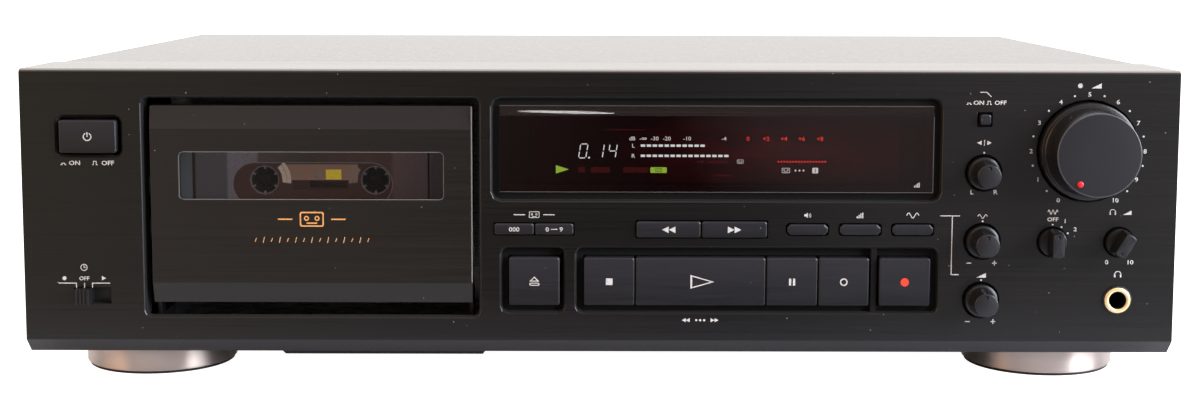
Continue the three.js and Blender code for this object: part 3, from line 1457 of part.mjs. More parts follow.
function cordBushing() {
  const inner = rearInside - gap;
  const outer = rearFace + gap;
  const bushing = turned([
    [0, inner - 2 * socketCollar], [bushingTailRadius, inner - 2 * socketCollar],
    [bushingTailRadius + gap, inner], [bushingNeck, inner], [bushingNeck, outer],
    [bushingOuter, outer], [bushingOuter - gap, outer + socketCollar],
    [bushingBore + 2 * gap, rearFace + bushingReach], [0, rearFace + bushingReach],
  ], wheelSides).translate(bushingX, 0, bushingRise);
  const bore = barrel(bushingX, bushingRise, bushingBore, inner - 2 * socketCollar - overrun,
    rearFace + bushingReach + overrun, smallSides);
  add('cord_bushing', cut(bushing, bore), rubber);
}

frontPanel();
topCover();
bottomChassis();
rearPanel();
feet();
displayUnit();
keys.forEach(keySolid);
keyBoardUnit();
leftSwitches();
smallKnobs();
barKnobs();
levelKnob();
potBoardUnit();
headphoneJack();
doorUnit();
cassetteHolder();
cassette();
transportPlate();
spindles();
capstanDrive();
headCarriage();
mainBoardUnit();
transformer();
rearSockets();
cordBushing();

// The whole stands on its feet with the middle of its depth over the origin
const frontReach = levelReach + levelDotDome;
const rearReach = cabinetDepth + socketReach;
cabinet.position.set(0, (frontReach - rearReach) / 2, footHeight);

const deck = new THREE.Group();
deck.add(cabinet);
deck.updateMatrixWorld(true);

export default deck;
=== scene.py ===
"""Dresses a full-width cassette deck: finishes, printed marks, knobs, lit display, cassette and feet."""
import functools
import math

import bmesh
import bpy
from mathutils import Matrix, Vector


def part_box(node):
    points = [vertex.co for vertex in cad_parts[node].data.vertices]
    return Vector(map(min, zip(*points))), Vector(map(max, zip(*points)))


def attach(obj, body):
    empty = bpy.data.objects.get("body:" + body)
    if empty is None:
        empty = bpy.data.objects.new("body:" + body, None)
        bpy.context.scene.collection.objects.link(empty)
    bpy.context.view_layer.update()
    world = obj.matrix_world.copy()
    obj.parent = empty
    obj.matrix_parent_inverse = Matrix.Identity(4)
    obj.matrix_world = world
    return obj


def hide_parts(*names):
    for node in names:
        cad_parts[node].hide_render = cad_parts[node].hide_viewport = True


bl_info = {
    "name": "Cassette Deck Dressing",
    "version": (1, 0, 0),
    "blender": (4, 5, 0),
    "location": "3D View > Sidebar > Deck",
    "description": "Finishes, printed marks, knobs, display and cassette for a full-width cassette deck",
    "category": "Object",
}

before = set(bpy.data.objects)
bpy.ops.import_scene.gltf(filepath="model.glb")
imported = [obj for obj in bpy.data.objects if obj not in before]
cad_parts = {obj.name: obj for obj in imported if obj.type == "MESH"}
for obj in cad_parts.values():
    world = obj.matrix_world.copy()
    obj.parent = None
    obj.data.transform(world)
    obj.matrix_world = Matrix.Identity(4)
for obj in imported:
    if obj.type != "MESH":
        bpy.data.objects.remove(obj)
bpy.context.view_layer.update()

MM = 0.001
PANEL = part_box("front_panel")
FACE = PANEL[0].y               # the panel's front, in metres
FOOT = PANEL[0].z               # the panel's lower edge
CAMERA = Vector((0.16, -648.79, 148.91))    # mm from the panel's middle, face and lower edge
CAMERA_TURN = (0.1025, -0.0026, -0.0025)    # pitch down, roll and yaw in radians
LENS_MM = 52.75
SENSOR_MM = 36.0
SHIFT = (-0.00408, -0.0567)

INK_PROUD = 0.05                # a printed mark stands this far out of its surface, in mm
INK_SUNK = 0.03
CAP_SHARE = 0.729               # height of a capital letter, of the letter size
DOOR_LIP = 2.55                 # the door's hidden lower part is this much wider at each side
DOOR_SHEEN_HEIGHT = 84.8                # above this height a painted reflection makes the door's plate lighter, in mm
ORNAMENT = (51.0, 43.2)         # heights of the door's sign and of its row of ticks
REAR_FACE = 296.0               # the rear panel's outer face, in mm behind the panel's face
SOCKETS = 145.0                 # the line sockets' middle
SOCKET_REACH = 8.0              # from there to each column of sockets
CORD_OUTLET = -182.8            # the middle of the cord's opening
KNOB_SIDES = 128
PAINTED_LABEL_GLOW = 0.5                 # painted glow that the cassette's label gives off
SPECK = 0x8f8b86                # dust on a black surface


# Colours and places

def linear(code):
    """An sRGB hex colour as linear red, green and blue."""
    shares = [(code >> shift & 255) / 255 for shift in (16, 8, 0)]
    return [s / 12.92 if s <= 0.04045 else ((s + 0.055) / 1.055) ** 2.4 for s in shares]


def opaque(colour):
    """A hex colour, or linear red, green and blue, with full cover."""
    return (*(linear(colour) if isinstance(colour, int) else colour), 1.0)


def place(x, depth, z):
    """Millimetres from the panel's middle, behind its face and above its lower edge, as a point in metres."""
    return Vector((x * MM, FACE + depth * MM, FOOT + z * MM))


def edges_of(name):
    """A node's left, right, bottom and top on the panel, in millimetres."""
    low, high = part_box(name)
    return low.x / MM, high.x / MM, (low.z - FOOT) / MM, (high.z - FOOT) / MM


def middle(name):
    """Where the middle of a node is on the panel, in millimetres."""
    left, right, bottom, top = edges_of(name)
    return (left + right) / 2, (bottom + top) / 2


def front_of(name):
    """How far a node's front lies behind the panel's face, in millimetres."""
    return (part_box(name)[0].y - FACE) / MM


def seen_at(x, z, depth):
    """A place read on the panel's face, moved along the line of sight to a surface behind it."""
    reach = (depth - CAMERA.y) / -CAMERA.y
    return CAMERA.x + (x - CAMERA.x) * reach, CAMERA.z + (z - CAMERA.z) * reach


def clockwise(degrees, reach):
    """A step across and up of this reach, turned clockwise from straight up."""
    angle = math.radians(degrees)
    return reach * math.sin(angle), reach * math.cos(angle)


# Materials

class Nodes:
    """A tree of shader nodes, and the patterns that the finishes share."""

    def __init__(self, tree):
        self.tree = tree

    def add(self, kind, inputs=None, out=0, **settings):
        """Adds one node and gives one of its outputs; an input is a value or an output to link."""
        made = self.tree.nodes.new("ShaderNode" + kind)
        for name, value in settings.items():
            setattr(made, name, value)
        for socket, value in (inputs or {}).items():
            if isinstance(value, bpy.types.NodeSocket):
                self.tree.links.new(value, made.inputs[socket])
            else:
                made.inputs[socket].default_value = value
        return made.outputs[out] if made.outputs else None

    def at(self, axis, space="Object"):
        """Where a point lies along an axis."""
        return self.add("SeparateXYZ", {"Vector": self.add("TexCoord", out=space)}, axis)

    def grains(self, x_mm, y_mm, z_mm, detail=2.0, seed=0.0):
        """Noise whose grains have these sizes along the three axes."""
        sized = self.add("Mapping", {
            "Vector": self.add("TexCoord", out="Object"), "Location": (seed, seed, seed),
            "Scale": (1 / (x_mm * MM), 1 / (y_mm * MM), 1 / (z_mm * MM))})
        return self.add("TexNoise", {"Vector": sized, "Scale": 1.0, "Detail": detail})

    def spread(self, value, low=0.0, high=1.0, start=0.3, end=0.7):
        """Stretches what lies between start and end over a range; noise lies mostly from 0.3 to 0.7."""
        return self.add("MapRange", {
            "Value": value, "From Min": start, "From Max": end, "To Min": low, "To Max": high})

    def mix(self, share, first, second):
        """Two colours mixed by a share, each a hex colour or an output."""
        first, second = (opaque(each) if isinstance(each, int) else each for each in (first, second))
        return self.add("Mix", {0: share, 6: first, 7: second}, 2, data_type="RGBA")

    def patch(self, centre, reach, turn=0.0):
        """One at a place, falling to nought at the ends of an ellipse round it."""
        near = self.add("Mapping", {
            "Vector": self.add("TexCoord", out="Object"), "Location": centre, "Rotation": (0, 0, turn),
            "Scale": reach}, vector_type="TEXTURE")
        return self.add("TexGradient", {"Vector": near}, "Fac", gradient_type="SPHERICAL")

    def blocks(self, along, stops):
        """Colours at places along a ramp; the first two stops are the ones that it comes with."""
        colour = self.add("ValToRGB", {"Fac": along})
        ramp = colour.node.color_ramp.elements
        for count, (position, code) in enumerate(stops):
            stop = ramp[count] if count < 2 else ramp.new(position)
            stop.position, stop.color = position, opaque(code)
        return colour

    def dust(self, spacing_mm, speck_mm):
        """Sparse specks of household dust: one where a cell's point is near, in about half of the cells."""
        cells = self.add("TexVoronoi", {
            "Vector": self.add("TexCoord", out="Object"), "Scale": 1 / (spacing_mm * MM)}).node.outputs
        near = self.add("Math", {0: cells["Distance"], 1: speck_mm / spacing_mm / 2}, operation="LESS_THAN")
        chosen = self.add("SeparateColor", {"Color": cells["Color"]}, "Red")
        some = self.add("Math", {0: chosen, 1: 0.55}, operation="LESS_THAN")
        return self.add("Math", {0: near, 1: some}, operation="MULTIPLY")


class Finish(Nodes):
    """A material with one shader. Its colour, roughness and relief may follow one grain, in mm."""

    def __init__(self, name, code, roughness, grain=None, colours=None, rough=None, bump=None, **sockets):
        self.made = bpy.data.materials.new(name)
        self.made.use_nodes = True
        self.made.diffuse_color = opaque(code)
        super().__init__(self.made.node_tree)
        self.feed(Base_Color=opaque(code), Roughness=roughness, **sockets)
        self.grain = self.grains(*grain) if grain else None
        if colours:
            self.feed(Base_Color=self.mix(self.spread(self.grain), *colours))
        if rough:
            self.feed(Roughness=self.spread(self.grain, *rough))
        if bump:
            depth_mm, strength = bump
            self.feed(Normal=self.add("Bump", {
                "Height": self.grain, "Distance": depth_mm * MM, "Strength": strength}))

    def feed(self, **sockets):
        """Sets sockets of the shader, each to a value or to another node's output."""
        for name, value in sockets.items():
            socket = self.tree.nodes["Principled BSDF"].inputs[name.replace("_", " ")]
            if isinstance(value, bpy.types.NodeSocket):
                self.tree.links.new(value, socket)
            else:
                socket.default_value = value


def anodised_brushed_aluminium():
    """Extruded aluminium, brushed along its length and anodised black: long faint lines, a soft
    sheen, specks of dust that show on the dark surface, painted shade that darkens the recesses to near
    black, and a painted highlight along the top chamfer."""
    look = Finish("anodised_brushed_aluminium", 0x121111, 0.3, (90, 0.45, 0.45, 3.0), bump=(0.02, 0.12),
                  Specular_IOR_Level=0.43)
    clouds = look.spread(look.grains(120, 60, 80, 1.0, 3.0))
    streaked = look.mix(look.spread(look.grain, 0.0, 0.4), look.mix(clouds, 0x0d0b0a, 0x0a0a0b), 0x191716)
    inside = recess_shade_mask(look)
    # Painted shade: the recesses and openings are darkened to near black.
    painted = look.mix(inside, look.mix(look.dust(5.2, 0.42), streaked, SPECK), 0x050505)
    even = look.add("Math", {0: look.spread(look.grain, 0.27, 0.34), 1: inside}, operation="MAXIMUM")
    rim = look.add("Math", {0: look.at("Z"), 1: PANEL[1].z - 0.05 * MM}, operation="GREATER_THAN")
    smoother = look.add("Math", {0: rim, 1: 0.04}, operation="MULTIPLY")
    # Painted highlight: the upper half of the top chamfer is mixed to a pale grey.
    look.feed(Base_Color=look.mix(painted_edge_highlight(look), painted, 0x8c8884),
              Roughness=look.add("Math", {0: even, 1: smoother}, operation="SUBTRACT"))
    return look


def painted_edge_highlight(look):
    """Painted highlight: one along the upper half of the chamfer at the panel's top, where a pale colour
    stands in for the light that the edge catches.
    """
    top = PANEL[1].z
    high = look.spread(look.at("Z"), start=top - 0.8 * MM, end=top - 0.35 * MM)
    front = look.add("Math", {0: look.at("Y"), 1: FACE + 1.25 * MM}, operation="LESS_THAN")
    return look.add("Math", {0: high, 1: front}, operation="MULTIPLY")


def recess_shade_mask(look):
    """Painted shade: one in the recesses and openings of the panel, where the colour darkens to near black,
    nought on its face and round its rim.
    """
    mask = look.spread(look.at("Y"), start=FACE + 0.1 * MM, end=FACE + 0.5 * MM)
    width = look.add("Math", {0: look.at("X")}, operation="ABSOLUTE")
    low, high = PANEL
    for operation, value, limit in (("LESS_THAN", width, high.x - 4 * MM),
                                    ("LESS_THAN", look.at("Z"), high.z - 4 * MM),
                                    ("GREATER_THAN", look.at("Z"), low.z + 7 * MM)):
        within = look.add("Math", {0: value, 1: limit}, operation=operation)
        mask = look.add("Math", {0: mask, 1: within}, operation="MULTIPLY")
    return mask


def stove_enamelled_steel():
    """Sheet steel under satin black stove enamel: a fine orange peel that breaks up reflections,
    and at a low angle it mirrors what is behind it."""
    look = Finish("stove_enamelled_steel", 0x18181a, 0.3, (1.2, 1.2, 1.2), rough=(0.26, 0.34),
                  bump=(0.02, 0.3), Specular_IOR_Level=0.6)
    look.feed(Base_Color=look.mix(look.dust(14.0, 0.5), 0x18181a, 0x6b6967))
    return look


def moulded_key_abs():
    """ABS keycaps with a hairline drawn across: charcoal, faintly blue, matt with a soft glow, and painted
    shade that darkens each key towards its bottom.
    """
    look = Finish("moulded_key_abs", 0x1f1f22, 0.4, (25, 2, 0.35), rough=(0.36, 0.5), bump=(0.01, 0.2),
                  Specular_IOR_Level=0.36)
    # Painted shade: each key is lighter at its top and darker towards its bottom.
    shade = look.mix(look.at("Z", "Generated"), 0x070708, 0x27272d)
    dusty = look.mix(look.dust(5.4, 0.36), shade, 0x85827f)
    look.feed(Base_Color=look.mix(look.spread(look.grain, 0.0, 0.3), dusty, 0x242428))
    return look


def hairline_door_plate():
    """The door's plate: polystyrene with a hairline film, warm black, streaked across its width, and lighter
    on its top band, a painted reflection.
    """
    look = Finish("hairline_door_plate", 0x161412, 0.32, (45, 2, 0.4, 3.0), rough=(0.28, 0.36),
                  bump=(0.015, 0.15), Specular_IOR_Level=0.44)
    clouds = look.spread(look.grains(60, 30, 25, 1.0, 7.0))
    streaked = look.mix(look.spread(look.grain, 0.0, 0.5), look.mix(clouds, 0x171411, 0x131112), 0x23201e)
    # Painted reflection: above this height the plate's colour is lighter.
    band = look.add("Math", {0: look.at("Z"), 1: FOOT + DOOR_SHEEN_HEIGHT * MM}, operation="GREATER_THAN")
    look.feed(Base_Color=look.mix(look.dust(5.6, 0.38), look.mix(band, streaked, 0x272525), SPECK))
    return look


def champagne_anodised_aluminium():
    """Turned aluminium, anodised pale champagne. The tool's rings run round the foot, so each lamp
    is drawn out into an upright bright band."""
    look = Finish("champagne_anodised_aluminium", 0xdccfc6, 0.46, (400, 400, 0.4), rough=(0.42, 0.5),
                  Metallic=1.0, Anisotropic=0.95, Anisotropic_Rotation=0.25)
    look.feed(Tangent=look.add("Tangent", direction_type="RADIAL", axis="Z"))
    return look


def moulded_abs(name, code, roughness):
    """Knobs and small parts moulded in ABS: deep flanks, a soft highlight along the rounded rims."""
    return Finish(name, code, roughness, (0.5, 0.5, 0.5), rough=(roughness - 0.05, roughness + 0.07),
                  bump=(0.006, 0.3), Specular_IOR_Level=0.4)


def smoked_acrylic(name, code, alpha, roughness=0.003):
    """Smoked acrylic, polished: what lies behind it shows darker and tinted under a clear gloss."""
    return Finish(name, code, roughness, (30, 10, 18, 1.0), rough=(roughness, roughness + 0.01),
                  Specular_IOR_Level=0.5, Alpha=alpha, IOR=1.49)


def printed_paper():
    """Printed label paper in upright blocks of colour, slate and lavender at one end of the cassette
    and reddish brown at the other, with painted shade that darkens it towards its bottom, and a painted glow."""
    look = Finish("printed_paper", 0x6e6470, 0.55)
    low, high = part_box("cassette_shell")
    blocks = look.blocks(look.spread(look.at("X"), start=low.x, end=high.x), (
        (0.142, 0x6e6870), (0.93, 0x54494a), (0.152, 0xa298a4), (0.258, 0xa2949c), (0.268, 0x6c5c58),
        (0.45, 0x544a44), (0.6, 0x6c4e48), (0.77, 0x6c4c46), (0.784, 0x866a6a), (0.905, 0x766062)))
    mottled = look.mix(look.spread(look.grains(0.8, 0.8, 0.8), 0.0, 0.3), blocks, 0x4c4248)
    # Painted shade: darker towards the label's bottom; the same colour is given off as painted glow.
    lit = look.mix(look.spread(look.at("Z"), 0.75, 0.0, low.z, high.z), mottled, 0x1c1a1c)
    look.feed(Base_Color=lit, Emission_Color=lit, Emission_Strength=PAINTED_LABEL_GLOW)
    return look


def cassette_polystyrene(name, code, glow):
    """Cassette parts moulded in polystyrene: even colour, low gloss, with a fine spark texture, and
    a painted glow of their own colour that fades out towards the shell's top."""
    look = Finish(name, code, 0.4, (0.6, 0.6, 0.6), bump=(0.01, 0.3))
    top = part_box("cassette_shell")[1].z
    dark = look.spread(look.at("Z"), start=top - 8 * MM, end=top - 3 * MM)
    # Painted glow: the parts give off their own colour, none of it near the shell's top.
    look.feed(Emission_Color=look.mix(dark, code, 0x000000), Emission_Strength=glow,
              Roughness=look.spread(look.grains(30, 30, 20, 1.0), 0.34, 0.48))
    return look


def screen_ink(name, code, glow=0.0):
    """Screen-printed enamel ink: flat opaque colour, slightly uneven at the edge of each mark."""
    darker = sum(int((code >> shift & 255) * 0.86) << shift for shift in (16, 8, 0))
    # A glow above nought gives the ink a painted glow of its own colour.
    return Finish(name, code, 0.5, (0.8, 0.8, 0.8), (darker, code), Specular_IOR_Level=0.3,
                  Emission_Color=opaque(code), Emission_Strength=glow)


def vacuum_tube_glass():
    """Glass of a vacuum display tube behind a red filter: near black with a faint painted glow, and a
    painted reflection: a dim red patch, broken up by noise, at its right."""
    look = Finish("vacuum_tube_glass", 0x0e0505, 0.3)
    low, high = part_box("display_tube")
    reflection_patch = look.patch((low.lerp(high, 0.66).x, low.y, low.lerp(high, 0.45).z), (0.062, 0.05, 0.017))
    broken = look.add("Math", {0: reflection_patch, 1: look.spread(look.grains(14, 5, 3.2, 1.0), 0.35, 1.0)},
                      operation="MULTIPLY")
    # Painted reflection and glow: the patch and the faint red are given off as light.
    look.feed(Emission_Color=look.mix(broken, 0x060202, 0x5a0c10), Emission_Strength=1.0)
    return look


def lit_phosphor(name, code, strength):
    """Phosphor on the tube's anodes: it gives off its own even light."""
    return Finish(name, 0x101010, 0.6, (0.3, 0.3, 0.3), rough=(0.5, 0.7), Emission_Color=opaque(code),
                  Emission_Strength=strength)


def blackened_steel():
    """Rolled and chemically blackened screws: blue-black, with bright wear in the cross."""
    return Finish("blackened_steel", 0x3a3c40, 0.35, (1.5, 1.5, 1.5), (0x2c2e32, 0x5a5c60), (0.25, 0.42),
                  Metallic=0.9)


def machined_steel():
    """Steel turned and ground bright: cool grey with fine tool marks."""
    return Finish("machined_steel", 0x94979b, 0.3, (8, 0.4, 0.4), rough=(0.22, 0.4), Metallic=1.0)


def gold_plated_brass():
    """Brass under thin gold plate, satin: an even warm yellow, a little brighter along its lip."""
    return Finish("gold_plated_brass", 0xf2d8a4, 0.4, (2, 2, 2), rough=(0.34, 0.44), Metallic=0.6)


def moulded_rubber():
    """Black rubber, pressed in a mould: dead matt, greyer where dust clings."""
    return Finish("moulded_rubber", 0x171717, 0.8, (5, 5, 5), (0x131313, 0x201f1f))


def glass_epoxy_board():
    """Glass-fibre board under green solder mask: its weave is too fine to see, so it is drawn coarser."""
    return Finish("glass_epoxy_board", 0x1f4a2b, 0.35, (1.5, 1.5, 1.5), (0x1b4327, 0x27563a))


def varnished_laminations():
    """Transformer laminations dipped in brown varnish: stacked sheet edges under an uneven gloss."""
    return Finish("varnished_laminations", 0x5a2f1c, 0.4, (40, 0.7, 40), (0x42251a, 0x70402a),
                  bump=(0.1, 0.5))


# Every finish by its short name: the function that makes it, and what that function takes
FINISHES = {
    "panel": (anodised_brushed_aluminium,),
    "enamel": (stove_enamelled_steel,),
    "key": (moulded_key_abs,),
    "door": (hairline_door_plate,),
    "tube": (vacuum_tube_glass,),
    "champagne": (champagne_anodised_aluminium,),
    "label": (printed_paper,),
    "knob": (moulded_abs, "moulded_knob_abs", 0x161618, 0.3),
    "knob_face": (moulded_abs, "moulded_knob_face_abs", 0x202024, 0.36),
    # A painted highlight for the level knob's rim.
    "knob_edge": (moulded_abs, "polished_knob_rim_abs", 0x4c4c52, 0.2),
    "black": (moulded_abs, "moulded_black_abs", 0x151516, 0.45),
    "dot_red": (moulded_abs, "red_inlay_abs", 0xe02a30, 0.3),
    "white_abs": (moulded_abs, "white_ring_abs", 0xd8d8d6, 0.4),
    "red_abs": (moulded_abs, "red_ring_abs", 0xb02522, 0.4),
    "door_glass": (smoked_acrylic, "smoked_grey_acrylic", 0x0c0b0d, 0.35),
    "display_glass": (smoked_acrylic, "smoked_red_acrylic", 0x120506, 0.5),
    # Painted highlights: pale opaque strips along edges that catch light.
    "polished_edge": (smoked_acrylic, "polished_acrylic_edge", 0x7c7a7a, 1.0, 0.1),
    # A dimmer painted highlight for the display glass's edges.
    "dim_edge": (smoked_acrylic, "smoked_acrylic_edge", 0x564e4e, 1.0, 0.1),
    # The last number of each cassette finish is its painted glow.
    "guide": (cassette_polystyrene, "grey_guide_polystyrene", 0x60656c, 0.35),
    "shell_dark": (cassette_polystyrene, "smoked_cassette_polystyrene", 0x583a36, 0.35),
    "hub": (cassette_polystyrene, "white_hub_polystyrene", 0x84797c, 0.35),
    "hub_shade": (cassette_polystyrene, "shaded_hub_polystyrene", 0x3a3434, 0.05),
    "tape": (cassette_polystyrene, "iron_oxide_tape", 0x46302b, 0.4),
    "sight": (cassette_polystyrene, "tan_sight_strip", 0x9c7868, 0.54),
    # The last number of each ink finish, where given, is its painted glow.
    "shell_label": (screen_ink, "grey_rim_ink", 0x8d8288, 0.5),
    "dull_ink": (screen_ink, "dull_label_ink", 0x9c9088, 0.4),
    "white_ink": (screen_ink, "white_screen_ink", 0xd6d4d2),
    "bright_ink": (screen_ink, "bright_label_ink", 0xc8c0b4, 0.6),
    "yellow_ink": (screen_ink, "yellow_label_ink", 0xe6c63c, 0.8),
    "orange_ink": (screen_ink, "orange_screen_ink", 0xe6a566, 0.15),
    "red_ink": (screen_ink, "red_screen_ink", 0xf0452f, 0.3),
    "lit_white": (lit_phosphor, "lit_white_phosphor", 0xf2f4f4, 2.6),
    "lit_soft": (lit_phosphor, "lit_scale_phosphor", 0xe8e2e0, 2.5),
    "lit_red": (lit_phosphor, "lit_red_phosphor", 0xff3a34, 2.6),
    "lit_lime": (lit_phosphor, "lit_lime_phosphor", 0xb6e24a, 1.9),
    # Painted glow: the unlit segments give off a dim red light of their own.
    "unlit_red": (lit_phosphor, "unlit_red_filter", 0x6a1014, 0.8),
    "screw": (blackened_steel,),
    "steel": (machined_steel,),
    "gold": (gold_plated_brass,),
    "rubber": (moulded_rubber,),
    "board": (glass_epoxy_board,),
    "laminations": (varnished_laminations,),
}


@functools.cache
def finish(name):
    """A finish by its name; each is made once."""
    make, *values = FINISHES[name]
    return make(*values).made


# Making pieces

def linked(name, data):
    """A new object in the scene."""
    made = bpy.data.objects.new(name, data)
    bpy.context.scene.collection.objects.link(made)
    return made


def modifier(piece, name, kind, **settings):
    """Adds a modifier with its settings."""
    made = piece.modifiers.new(name, kind)
    for key, value in settings.items():
        setattr(made, key, value)
    return made


def soften(name, width_mm, finish_name):
    """Gives a node its finish and breaks its sharp edges, as tooling and moulding do."""
    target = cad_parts[name]
    target.data.materials.clear()
    target.data.materials.append(finish(finish_name))
    if width_mm:
        modifier(target, "merge", "WELD", merge_threshold=0.01 * MM)
        modifier(target, "flat", "DECIMATE", decimate_type="DISSOLVE", angle_limit=math.radians(1))
        modifier(target, "edge", "BEVEL", width=width_mm * MM, segments=2, limit_method="ANGLE",
                 angle_limit=math.radians(40), use_clamp_overlap=False, harden_normals=True)


class Solids:
    """Collects closed solids in panel millimetres, each in one of a piece's materials."""

    def __init__(self):
        self.points, self.faces, self.slots = [], [], []

    def add(self, points, faces, slot=0):
        start = len(self.points)
        self.points += points
        self.faces += [[start + i for i in face] for face in faces]
        self.slots += [slot] * len(faces)

    def prism(self, outline, front, back, slot=0):
        """An outline of (x, z) points, anticlockwise from the front, with a thickness."""
        count = len(outline)
        points = [(x, y, z) for y in (front, back) for x, z in outline]
        sides = [(i, i + count, (i + 1) % count + count, (i + 1) % count) for i in range(count)]
        self.add(points, [list(range(count)), list(range(2 * count - 1, count - 1, -1)), *sides], slot)

    def band(self, outer, inner, front, back, slot=0):
        """The space between two outlines with equal counts of points."""
        count = len(outer)
        points = [(x, y, z) for y in (front, back) for x, z in [*outer, *inner]]
        faces = []
        for i in range(count):
            j = (i + 1) % count
            a, b, c, d = i, j, j + count, i + count
            far = 2 * count
            faces += [(a, b, c, d), (d + far, c + far, b + far, a + far),
                      (a, a + far, b + far, b), (c, c + far, d + far, d)]
        self.add(points, faces, slot)

    def turned(self, profile, centre, sides=KNOB_SIDES, face_steps=0, upright=False):
        """A solid turned from (radius, depth) points about a line that runs from front to back, front
        pole first, or from (radius, height) points about an upright one. The first face_steps steps
        of the profile take the second finish."""
        points, rings = [], []
        closed = profile[0] == profile[-1]
        for radius, along in profile[:-1] if closed else profile:
            count = 1 if radius == 0 else sides
            rings.append((len(points), count))
            for i in range(count):
                angle = 2 * math.pi * i / sides
                first = centre[0] + radius * math.cos(angle)
                second = centre[1] + radius * math.sin(angle)
                points.append((first, second, along) if upright else (first, along, second))
        faces, slots = [], []
        for step, ((a, many_a), (b, many_b)) in enumerate(zip(rings, rings[1:] + rings[:closed])):
            for i in range(sides):
                j = (i + 1) % sides
                corners = [a + i % many_a, b + i % many_b, b + j % many_b, a + j % many_a]
                face = list(dict.fromkeys(corners))
                if len(face) > 2:
                    faces.append(face)
                    slots.append(int(step < face_steps))
        self.add(points, faces)
        self.slots[-len(faces):] = slots

    def mesh(self, name, finishes, smooth=None, where=place):
        """One mesh of all the solids, with every face turned outward."""
        mesh = bpy.data.meshes.new(name)
        mesh.from_pydata([where(*p) for p in self.points], [], self.faces)
        mesh.polygons.foreach_set("material_index", self.slots)
        for each in finishes:
            mesh.materials.append(finish(each))
        mesh.validate()
        work = bmesh.new()
        work.from_mesh(mesh)
        bmesh.ops.recalc_face_normals(work, faces=work.faces[:])
        work.to_mesh(mesh)
        work.free()
        if smooth:
            mesh.polygons.foreach_set("use_smooth", [True] * len(mesh.polygons))
            mesh.set_sharp_from_angle(angle=math.radians(smooth))
        return mesh

    def make(self, name, body, *finishes, slot=None, smooth=None, instead=None):
        """A piece of all the solids, riding on a body, in place of a node where one is named."""
        piece = linked(name, self.mesh(name, finishes, smooth))
        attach(piece, body)
        if instead:
            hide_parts(instead)
        return piece


def circle(x, z, radius, sides=32, start=0.0, turn=1.0):
    """Points of a circle, or of an arc where turn is under one."""
    count = sides if turn == 1.0 else sides + 1
    angles = [2 * math.pi * (start + turn * i / sides) for i in range(count)]
    return [(x + radius * math.cos(angle), z + radius * math.sin(angle)) for angle in angles]


def rectangle(left, right, bottom, top, radius=0.0, steps=5):
    """A rectangle, with round corners where a radius is given."""
    if radius == 0:
        return [(left, bottom), (right, bottom), (right, top), (left, top)]
    corners = [(right - radius, bottom + radius, 0.75), (right - radius, top - radius, 0.0),
               (left + radius, top - radius, 0.25), (left + radius, bottom + radius, 0.5)]
    return [p for x, z, start in corners for p in circle(x, z, radius, steps, start, 0.25)]


def cutter(shape, matrix, **size):
    """A cutting shape, which carve() removes after use."""
    work = bmesh.new()
    shape(work, matrix=matrix, **size)
    mesh = bpy.data.meshes.new("cutter")
    work.to_mesh(mesh)
    work.free()
    return linked("cutter", mesh)


def carve(piece, tool):
    """Cuts one shape out of a piece for good."""
    step = modifier(piece, "carve", "BOOLEAN", object=tool, operation="DIFFERENCE", solver="EXACT")
    bpy.context.view_layer.update()
    shaped = bpy.data.meshes.new_from_object(piece.evaluated_get(bpy.context.evaluated_depsgraph_get()))
    piece.modifiers.remove(step)
    piece.data = shaped
    bpy.data.objects.remove(tool)


def dimple(piece, x, depth, z, radius):
    """A small round hollow, which shows where a knob points."""
    carve(piece, cutter(bmesh.ops.create_icosphere, Matrix.Translation(place(x, depth, z)),
                        subdivisions=3, radius=radius * MM))


def trim(piece, point, normal):
    """Cuts off what lies beyond a plane and closes the cut."""
    work = bmesh.new()
    work.from_mesh(piece.data)
    cut = bmesh.ops.bisect_plane(work, geom=work.verts[:] + work.edges[:] + work.faces[:],
                                 plane_co=point, plane_no=normal, clear_outer=True)
    edges = [e for e in cut["geom_cut"] if isinstance(e, bmesh.types.BMEdge)]
    for face in bmesh.ops.edgenet_fill(work, edges=edges)["faces"]:
        face.smooth = False
    bmesh.ops.recalc_face_normals(work, faces=work.faces[:])
    work.to_mesh(piece.data)
    work.free()


